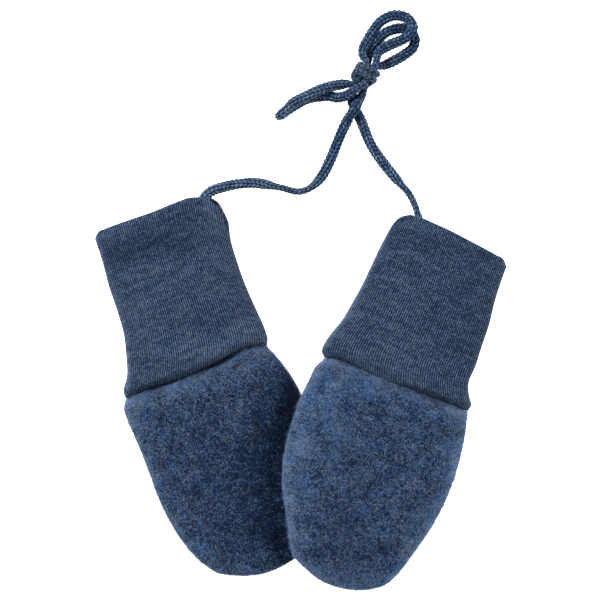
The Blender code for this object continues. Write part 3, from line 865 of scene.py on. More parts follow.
# %% Cord material
CORD_TONE = 0.92            # on the crest of a stitch
VALLEY_SHADE = 0.75          # painted shade: how much darker it is painted between columns and between stitches
THREADS_ACROSS = 9.0        # threads of the yarn to a column, and to a stitch
THREADS_ALONG = 3.0


def cord_material():
    material, tree, shader = new_material("cord knit", 0.85)
    column, run = named_map(tree, "knit")
    across = (column.math("FRACT") - 0.5).math("ABSOLUTE")
    beat = run + across * CORD_SLANT
    leg = (column * 2.0).math("FLOOR")
    bead = vector(tree, leg, beat.math("FLOOR")).speckle()
    streak = vector(tree, column * 4.0, run * 2.0).noise(0.8, roughness=0.6)
    strands = ((across * THREADS_ACROSS + beat * THREADS_ALONG) * pi * 2.0).math("SINE")
    gap = ((beat.math("FRACT") - 0.5).math("ABSOLUTE") * 2.0).between(0.5, 1.0)
    valley = (across * 4.0 - 1.0).math("ABSOLUTE").between(0.5, 1.0)
    tone = CORD_TONE + bead.swing(0.4) + streak.swing(1.0) + strands * 0.05
    # painted shade between the columns and between the stitches
    tone = tone - valley * VALLEY_SHADE - gap * VALLEY_SHADE + own_tone(tree)
    warm = place_in_mm(tree).noise(4.0, detail=1.0).between(0.3, 0.7)
    colour = melange(tree, tone, warm, (CORD_COOL, CORD_WARM))
    tree.links.new(colour.socket, shader.inputs["Base Color"])
    give_bump(shader, strands, distance=0.12)
    return material


knitted = cord_material()
print(f"{knitted.name}: {len(knitted.node_tree.nodes)} nodes")

# %% [markdown]
# ## The cord's piece
#
# Its ends could be left open, because the cuffs hide them, but a closed mesh has a true
# inside and outside. So each is closed by a last ring drawn together. The yarn is paler in
# the knot, where it is drawn thinner, in the tail, and close to the cuffs.

# %% Make the cord
DRAWN_TONE = 0.28       # how much paler the yarn is where the knot draws the cord thinner
CORD_TONES = [          # share of the cord's length, and how much paler it is there
    (0.0, 0.18), (0.10, 0.20), (0.14, -0.06), (0.46, -0.06), (0.50, 0.16),
    (0.58, 0.16), (0.62, -0.06), (0.84, -0.06), (0.93, 0.1), (1.0, 0.14),
]
closed = 0 * cord_rings[:1]
first, last = cord_line[:1, None, :3] + closed, cord_line[-1:, None, :3] + closed
cord_grid = np.concatenate([first, cord_rings, last])
cord_faces = grid_faces(len(cord_grid), CORD_AROUND, True)
cord = new_piece("knitted_cord", cord_grid, cord_faces.tolist(), knitted)
ring_run = np.pad(cord_run, 1, mode="edge")[:, None] / CORD_STITCH
ring_place = (around / (2 * pi) * CORD_COLUMNS) + 0 * ring_run
add_map(cord, "knit", ring_place, ring_run + 0 * ring_place)
drawn = 1 - ease(DRAWN, 1.0, np.pad(cord_line[:, 3], 1, mode="edge"))
share = np.linspace(0, 1, len(cord_grid))
tones = DRAWN_TONE * drawn + np.interp(share, *np.transpose(CORD_TONES))
store_tone(cord, np.repeat(tones, CORD_AROUND))
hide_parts("cord")
print(f"Cord {len(cord.data.polygons)} faces")

# %% [markdown]
# ## Sections of the mittens
#
# A laid mitten isn't flat like paper, nor blown up like a cushion. Its sides are rolled: a
# quarter circle from the seam up to the top, and another down to the base. The top has a
# crown, and the base is flat. One section drawn this way does for the cuffs and the hands.

# %% Shapes that all the cloth shares
CROWN_SIDES = 3         # power with which a crown comes down to its sides, the higher the later
CROWN_END = 5           # the same towards the fingertips


def to_edge(edge, places):
    """Distance and direction from each place to the nearest point of an edge's line."""
    start, run = edge[:-1], np.diff(edge, axis=0)
    offset = places[..., None, :] - start
    share = np.clip((offset * run).sum(axis=-1) / (run**2).sum(axis=-1), 0.0, 1.0)
    away = share[..., None] * run - offset
    distance = np.linalg.norm(away, axis=-1)
    nearest = distance.argmin(axis=-1)[..., None]
    away = np.take_along_axis(away, nearest[..., None], axis=-2)[..., 0, :]
    distance = np.take_along_axis(distance, nearest, axis=-1)
    return distance[..., 0], away / np.maximum(distance, 1e-6)


def quarter_round(inset, roll):
    """Share of the roll's radius reached at this distance in from the edge."""
    outward = np.clip(1 - inset / roll, 0.0, 1.0)
    return np.sqrt(1 - outward**2)


def section_heights(across, rolled, roll, height, is_front):
    """Heights of a laid tube's upper or under side."""
    crown = (height - 2 * roll) * (1 - abs(across) ** CROWN_SIDES)
    top = roll * (1 + rolled) + np.maximum(crown, 0.0)
    base = roll * (1 - rolled)
    return np.where(is_front, top, base)


def on_layout(mitten, along, sideways):
    """Floor position of a point given along the mitten and sideways from its axis."""
    turn = radians(mitten.turn)
    x = mitten.wrist[0] + along * np.sin(turn) + sideways * np.cos(turn)
    y = mitten.wrist[1] - along * np.cos(turn) + sideways * np.sin(turn)
    return x, y


def wrist_line(mitten, across):
    """Where the wrist seam runs, along the mitten."""
    places = column(mitten.seam, "across")
    return smooth(places, column(mitten.seam, "along"), across, level=[0, -1])


def wrist_tuck(mitten, across):
    """How strongly the wrist seam pulls the cloth in."""
    return smooth(column(mitten.seam, "across"), column(mitten.seam, "tuck"), across)


def mouth_line(mitten, across, is_front):
    """Where the cuff's mouth runs, along the mitten, on its upper or under layer."""
    places = column(mitten.mouth, "across")
    front = smooth(places, column(mitten.mouth, "front"), across)
    back = smooth(places, column(mitten.mouth, "back"), across)
    return np.where(is_front, front, back)


for mitten in (LEFT, RIGHT):
    length = wrist_line(mitten, 0.0) - mouth_line(mitten, 0.0, True)
    print(f"The {mitten.side} cuff is {length:.0f} mm long down its middle")

# %% [markdown]
# ## Folds
#
# A fold is a soft ridge, or a trough where its height is negative. It lies at a place along
# and sideways, turned from straight across the mitten, and fades out at both ends. A cloth
# simulation would make folds too, but where it likes. Placed one by one, they lie where the
# seams and the mouths really pull the cloth. The bands have the same form, but there the
# height is a tone: painted light and painted shade on the upper side, with some of the
# wool's own blotches among them.

# %% Table of folds
Fold = namedtuple("Fold", "along sideways turn length width height")
FOLD_BEND = 0.008       # how much a fold curves over its length

LEFT_CREASES = [        # two short sharp ones by the left cuff's inner corner; as bands, painted shade inside them
    Fold(-70.2, 25.7, 60, 3.4, 0.7, -0.90),
    Fold(-64.2, 27.2, 84, 4.4, 0.6, -0.90),
]
CUFF_FOLDS = {
    "left": [
        Fold(-19.0, 12.0, 4, 16.0, 4.8, -1.60),
        Fold(-8.5, 15.0, 4, 17.0, 4.6, 1.00),
        Fold(-10.0, -18.0, -4, 15.0, 3.4, 0.35),
        Fold(-46.0, 14.0, 9, 9.0, 5.0, 0.30),
        Fold(-67.5, -10.0, -2, 20.0, 5.5, 2.20),
        Fold(-57.5, -9.0, -2, 19.0, 5.0, -0.90),
        *LEFT_CREASES,
    ],
    "right": [
        Fold(-10.5, 22.0, -3, 14.0, 3.0, 0.85),
        Fold(-18.0, 23.0, -5, 11.0, 4.0, -0.55),
        Fold(-14.0, -22.0, 10, 11.0, 3.2, 0.40),
        Fold(-40.0, 8.0, -8, 14.0, 4.8, -0.35),
        Fold(-58.0, 14.0, 6, 12.0, 5.0, -0.30),
    ],
}
# Painted light and shade in bands on each cuff's upper side.
CUFF_LIGHT_AND_SHADE = {
    "left": [
        *LEFT_CREASES,
        Fold(-61.0, -9.0, -2, 22.0, 6.5, -0.30),
        Fold(-69.0, 8.0, 0, 10.0, 3.5, -0.26),
        Fold(-66.5, 22.5, 72, 9.0, 2.6, 0.28),
        Fold(-35.0, -32.0, 90, 38.0, 9.0, -0.12),
        Fold(-23.5, 9.0, 4, 12.0, 4.5, -0.16),
        Fold(-9.0, 14.0, 4, 16.0, 6.0, 0.14),
    ],
    "right": [
        Fold(-64.0, -4.0, 4, 14.0, 5.0, -0.16),
        Fold(-36.0, 24.0, 86, 38.0, 16.0, -0.16),
    ],
}
# Painted light and shade in bands on each hand's front.
HAND_LIGHT_AND_SHADE = {
    "left": [
        Fold(62.0, 6.0, 80, 30.0, 13.0, -0.18),
        Fold(53.0, 24.0, 101, 27.0, 3.2, 0.60),
        Fold(20.5, 39.0, 100, 11.0, 4.5, -0.60),
        Fold(84.0, 19.0, -20, 8.0, 5.0, 0.40),
        Fold(3.5, -2.0, -4, 34.0, 5.0, 0.20),
        Fold(-1.0, 26.0, 4, 9.0, 5.0, 0.25),
    ],
    "right": [
        Fold(12.0, -26.0, 80, 15.0, 6.0, 0.28),
        Fold(3.5, 14.5, -10, 8.0, 3.5, -0.35),
        Fold(42.0, -38.5, 92, 24.0, 5.0, 0.28),
        Fold(75.0, 18.0, 120, 10.0, 4.0, 0.30),
        Fold(88.5, -11.0, 14, 11.0, 3.5, 0.25),
        Fold(36.0, 29.5, 90, 16.0, 4.0, 0.20),
        Fold(75.0, 4.0, 2, 16.0, 7.0, -0.14),
    ],
}
HAND_FOLDS = {
    "left": [
        Fold(7.5, 10.0, 8, 16.0, 4.5, 0.9),
        Fold(26.0, -14.0, -20, 14.0, 7.0, 0.4),
        Fold(62.0, 0.0, -28, 12.0, 6.0, 0.4),
    ],
    "right": [
        Fold(8.0, -14.0, -14, 16.0, 5.0, 1.0),
        Fold(9.0, 18.0, -16, 10.0, 4.0, 0.8),
        Fold(13.0, 28.0, -70, 9.0, 3.5, -0.6),
        Fold(34.0, -27.0, 84, 26.0, 8.0, 1.1),
        Fold(60.0, 2.0, 30, 13.0, 6.0, -0.3),
    ],
}


def fold_height(folds, along, sideways):
    """Height, or tone, of all the folds together at each place."""
    height = 0.0 * along
    for fold in folds:
        turn = radians(fold.turn)
        down, side = along - fold.along, sideways - fold.sideways
        lengthwise = side * np.cos(turn) + down * np.sin(turn)
        crosswise = down * np.cos(turn) - side * np.sin(turn)
        crosswise = crosswise + FOLD_BEND * lengthwise**2 * np.sign(fold.turn + 0.5)
        height = height + fold.height * np.exp(
            -((crosswise / fold.width) ** 2) - (lengthwise / fold.length) ** 4
        )
    return height


for mitten in (LEFT, RIGHT):
    count = len(CUFF_FOLDS[mitten.side]) + len(HAND_FOLDS[mitten.side])
    print(f"The {mitten.side} mitten has {count} folds placed by hand")

# %% [markdown]
# ## The upper mitten over the lower one
#
# The right mitten lies on a plateau as wide as the lower hand reaches, and comes down to the
# floor beside it. It could be turned about its far side like a board, but soft cloth bends.
# So its walls are lifted straight up, each by its own height, and keep their thickness.

# %% Plan of a hand, and the lift
WRIST_SLANT = (0, 50)   # where along the hand the wrist seam's slant fades out
TIP_START = 40.0        # where along it the sections start to bow out


def hand_plan(mitten, base, across):
    """Plan of the hand: places along and sideways, one row for each section."""
    places = column(mitten.hand, "along")
    left = smooth(places, column(mitten.hand, "left"), base, level=[0])
    right = smooth(places, column(mitten.hand, "right"), base, level=[0])
    wrist = wrist_line(mitten, across) * (1 - ease(*WRIST_SLANT, base))
    tip = HAND_TIP * ease(TIP_START, HAND_LENGTH, base) * (1 - across**2)
    sideways = (right - left) / 2 + across * (right + left) / 2
    return np.stack([base + wrist + tip, sideways], axis=-1)


def lift_over_lower(points):
    """How far the upper mitten is lifted at these places."""
    count = 60
    base = np.linspace(0, HAND_LENGTH, count)
    side = hand_plan(LEFT, base, np.ones(count))
    tip = hand_plan(LEFT, np.full(count, HAND_LENGTH), np.linspace(1, 0, count))
    turn = radians(LEFT.turn)
    x = points[..., 0] - LEFT.wrist[0]
    y = points[..., 1] - LEFT.wrist[1]
    along = x * np.sin(turn) - y * np.cos(turn)
    sideways = x * np.cos(turn) + y * np.sin(turn)
    is_inside = (sideways < np.interp(along, *side.T)) & (along < HAND_LENGTH)
    edge = np.concatenate([side, tip[1:]])
    beside, _ = to_edge(edge, np.stack([along, sideways], axis=-1))
    distance = np.where(is_inside, 0.0, beside)
    return OVER_LOWER * (1 - ease(0, SLOPE_WIDTH, distance))


def laid(mitten, points):
    """The points of a mitten as it lies: the right one is lifted over the left one."""
    if mitten is LEFT:
        return points
    lifted = points.copy()
    lifted[..., 2] += lift_over_lower(points)
    return lifted


for sideways in (-40.0, 0.0, 30.0):
    place = np.array([*on_layout(RIGHT, HAND_LENGTH / 2, sideways), 0.0])
    lift = lift_over_lower(place)
    print(f"{sideways:.0f} mm from its axis, the right hand is lifted by {lift:.1f} mm")

# %% [markdown]
# ## Cuffs
#
# Each cuff is knitted round, so its columns of points follow the wales: four points to a
# wale, at equal distances round the tube. It could be a thin sheet that a modifier thickens,
# but the jersey is folded double and its fold should show. So the rows run down the inside,
# over the fold at the mouth, and down the outside to the wrist.

# %% Sizes of a cuff's stitches, and its roll-down at the wrist
POINTS_PER_WALE = 4
WALE_HEIGHT = 0.14      # the relief of a wale
WALE_PROFILE = np.array([-0.6, 0.15, 0.45, 0.15])   # shares of it: valley, side, crest, side
STEPS_ROUND = 1440      # steps in which a tube is measured round
FACING_UP = (0.2, 0.8)  # how far up the cloth faces where folds begin, and where they are whole
CUFF_END = (3.2, 2.7)   # length and depth of the roll-down of a cuff into the wrist seam
HAND_END = (3.2, 1.8)   # the same for a hand, whose cloth is thicker
SIDE_SHARE = 0.85       # how much less of the roll-down there is at a mitten's sides
TURN_IN = 1.6           # how far the last of the cloth turns in at the seam
TURN_LENGTH = 0.35      # and the length of cloth that does
SLOW_ROLL = 1.3         # how much longer the slower half of the roll-down is
SEAM_SHADE = 0.55       # painted shade: how much darker the cloth is painted inside the wrist seam
SEAM_SHADE_WIDTH = 0.75     # and how far from the seam that reaches
CUFF_RIM_LIGHT = 0.25    # painted light: how much paler a cuff is painted where it turns over its sides


def wrist_drop(mitten, across, from_wrist, end):
    """How deep the cloth lies below its plain form, close to the wrist seam."""
    length, depth = end
    rolled = 1 - quarter_round(from_wrist, length) / 2
    rolled = rolled - ease(0, length * SLOW_ROLL, from_wrist) / 2
    turned_in = TURN_IN * (1 - ease(0, TURN_LENGTH, from_wrist))
    return depth * wrist_tuck(mitten, across) * rolled + turned_in


def seam_shade(mitten, across, from_wrist):
    """Painted shade inside the wrist seam, deepest where the cloth is tucked in most."""
    depth = SEAM_SHADE * wrist_tuck(mitten, across)
    return -depth * np.exp(-((from_wrist / SEAM_SHADE_WIDTH) ** 2))


deepest = wrist_drop(LEFT, 0.0, 0.0, CUFF_END)
print(f"The left cuff goes {deepest:.1f} mm down into its wrist seam")

# %% [markdown]
# The wales could be set out by angle, but then they would crowd at the sides of a flat tube.
# So the tube is measured round in small steps first and then divided evenly, and every wale
# is as wide as the next. The folds, the roll-down and the painted light and shade are added to
# that.

# %% Places and layers of a cuff
def cuff_places(mitten, shares, count):
    """Along, sideways, height and across places on the cuff, evenly spaced round it."""
    angle = np.linspace(0, 2 * pi, STEPS_ROUND + 1)
    across = np.cos(angle)
    is_front = np.sin(angle) >= 0
    fractions = np.arange(count) / count
    sections, *tables = (column(mitten.cuff, name) for name in Cuff._fields)
    start = mouth_line(mitten, across, is_front)
    end = wrist_line(mitten, across)
    rows = []
    for share in shares:
        left, right, height, roll = (smooth(sections, table, share, [-1]) for table in tables)
        along = start + share * (end - start)
        sideways = (right - left) / 2 + across * (right + left) / 2
        rolled = quarter_round((1 - abs(across)) * (right + left) / 2, roll)
        z = section_heights(across, rolled, roll, height, is_front)
        run = np.concatenate([[0.0], np.cumsum(np.hypot(np.diff(sideways), np.diff(z)))])
        row = [along, sideways, z, across, end - start]
        rows.append([np.interp(fractions, run / run[-1], value) for value in row])
    return np.moveaxis(np.array(rows), 1, -1)


def cuff_layers(mitten, shares, count):
    """The cuff's outside with its folds, the directions out of it, and its painted light and
    shade.
    """
    places = cuff_places(mitten, shares, count)
    along, sideways, z, across, length = np.moveaxis(places, -1, 0)
    x, y = on_layout(mitten, along, sideways)
    grid = np.stack([x, y, z], axis=-1)
    normals = grid_normals(grid, closed_round=True)
    is_top = ease(*FACING_UP, normals[..., 2])
    from_wrist = (1 - shares[:, None]) * length
    drop = wrist_drop(mitten, across, from_wrist, CUFF_END)
    drop = drop * (1 - SIDE_SHARE * (1 - abs(normals[..., 2])))
    folds = fold_height(CUFF_FOLDS[mitten.side], along, sideways)
    # painted light and shade in bands on the upper side, and painted shade in the wrist seam
    tone = fold_height(CUFF_LIGHT_AND_SHADE[mitten.side], along, sideways) * is_top
    tone = tone + seam_shade(mitten, across, from_wrist)
    grid = grid + normals * (folds * is_top - drop)[..., None]
    return grid, grid_normals(grid, closed_round=True), tone


# %% [markdown]
# The inside and the outside have the same shape, two layers of jersey apart, and a half
# circle of rows joins them at the mouth. The inside hardly shows, so it has fewer rows.

# %% Make the cuffs
LONG_ROWS = np.linspace(0, 0.9, 26)         # rows from the mouth, as shares of the length
WRIST_ROWS = np.linspace(0.91, 0.992, 12)   # closer together where the cloth rolls down
LAST_ROWS = [0.996, 1.0]
FOLD_ROWS = 6               # rows round the fold at the mouth
INSIDE_STEP = 3             # the inside has one row for every three of the outside
FIRST_WALE = {"left": 0, "right": 1000}     # numbers apart, so the two cuffs aren't alike


def mouth_fold(outside, normals, ridges):
    """Rows of points round the fold at the mouth, from the inside to the outside."""
    outward = -unit(outside[1] - outside[0])
    turns = np.linspace(pi, 0, FOLD_ROWS + 2)[1:-1, None, None]
    middle = outside[0] - normals[0] * CUFF_WALL / 2
    reach = CUFF_WALL / 2 + ridges
    return middle + (normals[0] * np.cos(turns) + outward * np.sin(turns)) * reach


def make_cuff(mitten):
    """The whole cuff as one closed mesh: inside, fold and outside."""
    count = WALES * POINTS_PER_WALE
    shares = np.concatenate([LONG_ROWS, WRIST_ROWS, LAST_ROWS])
    outside, normals, bands = cuff_layers(mitten, shares, count)
    ridges = WALE_HEIGHT * np.tile(WALE_PROFILE, WALES)[None, :, None]
    outer = outside + normals * ridges
    fold = mouth_fold(outside, normals, ridges)
    sparse = np.arange(0, len(shares), INSIDE_STEP)[::-1]
    inner = (outside - normals * (CUFF_WALL + ridges))[sparse]
    grid = np.concatenate([inner, fold, outer])
    grid[..., 2] = np.maximum(grid[..., 2], 0.0)
    lifted = laid(mitten, grid)
    faces = grid_faces(*grid.shape[:2], True, closed_along=True)
    name = f"{mitten.side}_cuff"
    piece = new_piece(f"{name}_jersey", lifted, faces.tolist(), jersey)
    steps = np.linalg.norm(np.diff(grid, axis=0), axis=-1).mean(axis=1)
    course = np.concatenate([[0.0], np.cumsum(steps)])[:, None] / COURSE
    wale = (np.arange(count)[None, :] + 0.5) / POINTS_PER_WALE + FIRST_WALE[mitten.side]
    add_map(piece, "knit", wale + 0 * course, course + 0 * wale)
    bands = np.concatenate([bands[sparse], np.repeat(bands[:1], len(fold), axis=0), bands])
    # painted light where the cuff turns over its sides, added to the bands and the seam shade
    turned = 1 - abs(grid_normals(grid, closed_round=True)[..., 2])
    store_tone(piece, bands + CUFF_RIM_LIGHT * turned)
    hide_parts(name)


for mitten in (LEFT, RIGHT):
    make_cuff(mitten)

# %% [markdown]
# ## Hands
#
# A hand's front and back meet along the side seam, where the cloth turns in. Close to the
# seam the sewing puckers it. Fleece could be left smooth here and shaded lumpy, but its soft,
# uneven face also shows in its outline, so lumps of three sizes are real in the mesh.

# %% Lumps and puckers
LUMPS = [(12.0, 0.9, 3.0), (5.0, 0.6, 7.0), (2.2, 0.3, 11.0)]   # size, height and offset
PUCKER_PITCH = 3.3
PUCKER_HEIGHT = 0.30
PUCKER_REACH = 3.5      # how far in from the seam they fade
PUCKER_SLANT = 0.3      # how much they lean
PUCKER_DRIFT = (0.8, 13.0)  # how unevenly they are spaced, and over what length
SEAM_DIP = 0.4          # how deep the stitches of the seam pull the cloth in
SEAM_DIP_WIDTH = 0.8
RELIEF_INSET = (-1.0, 2.5)  # from where to where in from the seam the relief grows
PRESSED_RELIEF = 0.9    # how much of it goes where the hand is pressed
NAP_UNDER = 0.25        # thickness of the nap that is pressed flat under a back
BACK_SHARE = 0.4        # a back lies flat, so less of its relief is left


def lumps(points, size, offset):
    """Soft random heights, about -1 to 1, in lumps of this size."""
    flat = points.reshape(-1, 3) / size + offset
    heights = np.array([noise.noise(Vector(point)) for point in flat])
    return heights.reshape(points.shape[:-1])


def hand_relief(mitten, grid, plan, inset, pressed):
    """How far the cloth stands out from its plain form."""
    height = sum(high * lumps(grid, size, offset) for size, high, offset in LUMPS)
    run = plan[..., 0] + abs(plan[..., 1]) * PUCKER_SLANT
    drift, drift_length = PUCKER_DRIFT
    beat = run / PUCKER_PITCH + drift * np.sin(run / drift_length)
    height = height + PUCKER_HEIGHT * np.cos(2 * pi * beat) * np.exp(-inset / PUCKER_REACH)
    height = height + fold_height(HAND_FOLDS[mitten.side], plan[..., 0], plan[..., 1])
    height = height * (1 - PRESSED_RELIEF * pressed) * ease(*RELIEF_INSET, inset)
    return height - SEAM_DIP * np.exp(-((inset / SEAM_DIP_WIDTH) ** 2))


print("Lumps", ", ".join(f"{size:g}" for size, _, _ in LUMPS), "mm across")

# %% [markdown]
# The lower hand is pressed flat on its right side, where the upper one lies on it. It could
# be left whole and hidden, but then the two would run through each other.

# %% Height of a hand
PRESSED_FROM = -0.06    # place across where the lower hand starts to be pressed down
PRESSED_LAG = 0.58      # how much further across that is close to the wrist
PRESSED_LAG_ALONG = (6, 56)     # from where to where along the hand this fades
PRESSED_WIDTH = 0.60    # how much further across the slope has come down
PRESSED_CURVE = 1.8     # how late in that width it steepens
PRESSED_ALONG = (-3, 9)     # from where to where along the hand the pressing sets in


def hand_profile(mitten, base, across):
    """Height and roll of the hand's sections, and how much they are pressed."""
    places = column(mitten.hand, "along")
    height = smooth(places, column(mitten.hand, "height"), base, level=[0])
    roll = smooth(places, column(mitten.hand, "roll"), base, level=[0])
    height = 2 * roll + (height - 2 * roll) * (1 - (base / HAND_LENGTH) ** CROWN_END)
    pressed = 0.0 * base * across
    if mitten is LEFT:
        start = PRESSED_FROM + PRESSED_LAG * (1 - ease(*PRESSED_LAG_ALONG, base))
        share = np.clip((across - start) / PRESSED_WIDTH, 0.0, 1.0)
        pressed = share**PRESSED_CURVE * ease(*PRESSED_ALONG, base)
    height = height + (PRESSED_HEIGHT - height) * pressed
    return height, roll + (PRESSED_ROLL - roll) * pressed, pressed


# %% [markdown]
# Each place of a panel has a tone of its own, and most of it is painted light and shade:
# painted light over the sides and at the wrist seam, painted shade on the slope that the
# upper mitten shelters and in the seam, and bands of painted light and shade. Bands and
# shelter are on the fronts only, because the backs lie on the floor.

# %% Tone of a hand
HAND_TONE = {"left": -0.18, "right": 0.02}  # one tone for the whole of each hand: below 0 is darker
HAND_RIM_LIGHT = 0.75    # painted light: how much paler the nap is painted over the sides
HAND_RIM_WIDTH = 4.5
HAND_WRIST_LIGHT = 0.62  # painted light: how much paler the nap is painted at the wrist seam
HAND_WRIST_WIDTH = 4.0
RIM_COVERED = (0.1, 0.7)    # places across where the lower hand's painted rim light goes under the upper one
SHELTER_SHADE = 0.36        # painted shade: how much darker the slope beside the upper mitten is painted
SHELTER_LAG = 0.9       # how much further across the painted shade starts close to the wrist
SHELTER_LAG_ALONG = (4, 40)
SHELTER_ACROSS = (-0.2, 0.4)    # from where to where it sets in, across and along
SHELTER_ALONG = (3, 18)


def hand_tone(mitten, is_front, plan, base, across, inset, from_wrist):
    """The tone at each place of a panel, most of it painted light and shade."""
    # painted light over the sides, and at the wrist seam
    rim = HAND_RIM_LIGHT * np.exp(-inset / HAND_RIM_WIDTH)
    wrist_rim = HAND_WRIST_LIGHT * np.exp(-np.maximum(from_wrist, 0.0) / HAND_WRIST_WIDTH)
    # on the lower front, no painted rim light under the upper mitten, and painted shade beside it
    if mitten is LEFT and is_front:
        rim = rim * (1 - ease(*RIM_COVERED, across))
        beside = across - SHELTER_LAG * (1 - ease(*SHELTER_LAG_ALONG, base))
        rim = rim - SHELTER_SHADE * ease(*SHELTER_ACROSS, beside) * ease(*SHELTER_ALONG, base)
    # bands of painted light and shade, on the front only
    bands = fold_height(HAND_LIGHT_AND_SHADE[mitten.side], plan[..., 0], plan[..., 1]) * is_front
    shade = seam_shade(mitten, across, from_wrist)
    return HAND_TONE[mitten.side] + rim + wrist_rim + bands + shade


# %% [markdown]
# The outside is drawn first, and the inside follows it at the thickness of the cloth, so both
# have the same folds and lumps. Two surfaces drawn apart could meet by mistake.

# %% Surface of a hand panel
HAND_ROWS = 110
HAND_COLUMNS = 110
INWARD = 1e-3           # how far towards the middle a place moves to find its way out


def panel_edge(grid):
    """The points of a panel's side seam, from the wrist round the fingertips and back."""
    return np.concatenate([grid[:, 0], grid[-1, 1:-1], grid[::-1, -1]])


def hand_surface(mitten, is_front):
    """A panel's outside and inside, its seam's edges, how pressed it is, and its tone with its
    painted light and shade.
    """
    base = HAND_LENGTH * (1 - np.cos(np.linspace(0, pi, HAND_ROWS)[:, None])) / 2
    angle = np.linspace(0, pi, HAND_COLUMNS)[None, :]
    across = np.cos(angle) if is_front else -np.cos(angle)
    plan = hand_plan(mitten, base, across)
    height, roll, pressed = hand_profile(mitten, base, across)
    seam = panel_edge(plan)
    inset, _ = to_edge(seam, plan)
    rolled = quarter_round(inset, roll)
    z = section_heights(across, rolled, roll, height, is_front)
    outside = 1 if is_front else -1
    z = z + outside * SEAM_EDGE * (1 - rolled)

    inner_plan = plan + (plan[HAND_ROWS // 2, HAND_COLUMNS // 2] - plan) * INWARD
    _, away = to_edge(seam, inner_plan)
    away = away * np.sqrt(1 - rolled**2)[..., None]
    up = outside * rolled
    grid = np.stack([*on_layout(mitten, plan[..., 0], plan[..., 1]), z], axis=-1)
    wrist = np.array([*mitten.wrist, 0.0])
    out = np.stack([*on_layout(mitten, away[..., 0], away[..., 1]), up], axis=-1) - wrist
    out[..., 2] = up

    relief = hand_relief(mitten, grid, plan, inset, pressed)
    if not is_front:
        relief = np.minimum(relief, 0.0) * BACK_SHARE
    from_wrist = plan[..., 0] - wrist_line(mitten, across)
    drop = wrist_drop(mitten, across, from_wrist, HAND_END) * (1 - SIDE_SHARE * (1 - rolled))
    outer = grid + out * (relief - drop)[..., None]
    outer[..., 2] = np.maximum(outer[..., 2], NAP_UNDER)
    inner = outer - out * FLEECE_WALL
    outer_edge, inner_edge = panel_edge(outer), panel_edge(inner)
    outer_edge[:, 2] = inner_edge[:, 2] = panel_edge((roll + 0 * z)[..., None])[:, 0]
    paleness = hand_tone(mitten, is_front, plan, base, across, inset, from_wrist)
    return outer, inner, outer_edge, inner_edge, pressed, paleness


print(f"A panel has {HAND_ROWS * HAND_COLUMNS} points on each face")

# %% [markdown]
# The panel is a closed shell: its outside, its inside, a narrow upright face along the side
# seam, and an end at the wrist. A single sheet would do from above, but it would show as
# paper thin inside the mouth of the hand.


def make_hand(mitten, is_front):
    """One panel of a hand. What the nap needs of it is returned."""
    outer, inner, outer_edge, inner_edge, pressed, paleness = hand_surface(mitten, is_front)
    rows, columns = outer.shape[:2]
    size = rows * columns
    index = np.arange(size).reshape(rows, columns)
    rim = panel_edge(index[..., None])[:, 0]
    low = 2 * size + np.arange(len(rim))
    chain = np.stack([rim, low, low + len(rim), rim + size])
    bands = [np.stack([a[:-1], a[1:], b[1:], b[:-1]], axis=-1) for a, b in zip(chain, chain[1:])]
    before, after = index[0, :-1], index[0, 1:]
    wrist = np.stack([after, before, before + size, after + size], axis=-1)
    ends = [chain[:, 0][::-1], chain[:, -1]]
    plain = grid_faces(rows, columns, False)
    faces = np.concatenate([plain, plain[:, ::-1] + size, *bands, wrist, ends])
    points = np.concatenate([outer.reshape(-1, 3), inner.reshape(-1, 3), outer_edge, inner_edge])
    name = f"{mitten.side}_hand_{'front' if is_front else 'back'}"
    piece = new_piece(f"{name}_fleece", laid(mitten, points), faces.tolist(), fleece)
    # the tone, with its painted light and shade, goes on every face of the panel
    edge_tones = panel_edge(paleness[..., None])[:, 0]
    store_tone(piece, np.concatenate([paleness.ravel(), paleness.ravel(), edge_tones, edge_tones]))
    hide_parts(name)
    return laid(mitten, outer), pressed, paleness


surfaces = {
    (mitten.side, is_front): make_hand(mitten, is_front)
    for mitten in (LEFT, RIGHT)
    for is_front in (True, False)
}

# %% [markdown]
# ## Nap
#
# Thousands of short fibres lie on the fleece in all directions, more of them towards the
# fingertips than away. Blender has hair for this, but hair isn't part of a mesh and would be
# lost when the model is used elsewhere. So each fibre is a thin bent strip of two faces that
# ends in a point, with a tone of its own, and all the fibres of a panel are one piece.

# %% Fibres on a surface
Nap = namedtuple("Nap", "count length width lift")
FIBRE_CONTRAST = 2.4    # difference in tone between the darkest and the palest fibres
FIBRE_LENGTHS = (0.5, 1.4)  # of the shortest and the longest, as shares of the nap's length
FIBRE_LIFTS = (0.1, 1.3)    # the same for how high they stand
FIBRE_CURL = 0.35       # how much they bend sideways
BRUSHED = (0.0, -0.5, 0.0)  # how strongly they are brushed, towards the fingertips
ROOT_DEPTH = 0.05       # how deep in the cloth they start
MIDDLE = (0.5, 0.15, 0.8)   # shares of length, curl and lift at a fibre's middle
TIP = (0.95, 0.6, 1.0)      # and at its tip
WAIST = 0.8             # its width at the middle, as a share
LOWEST_FIBRE = 0.02     # none goes through the floor


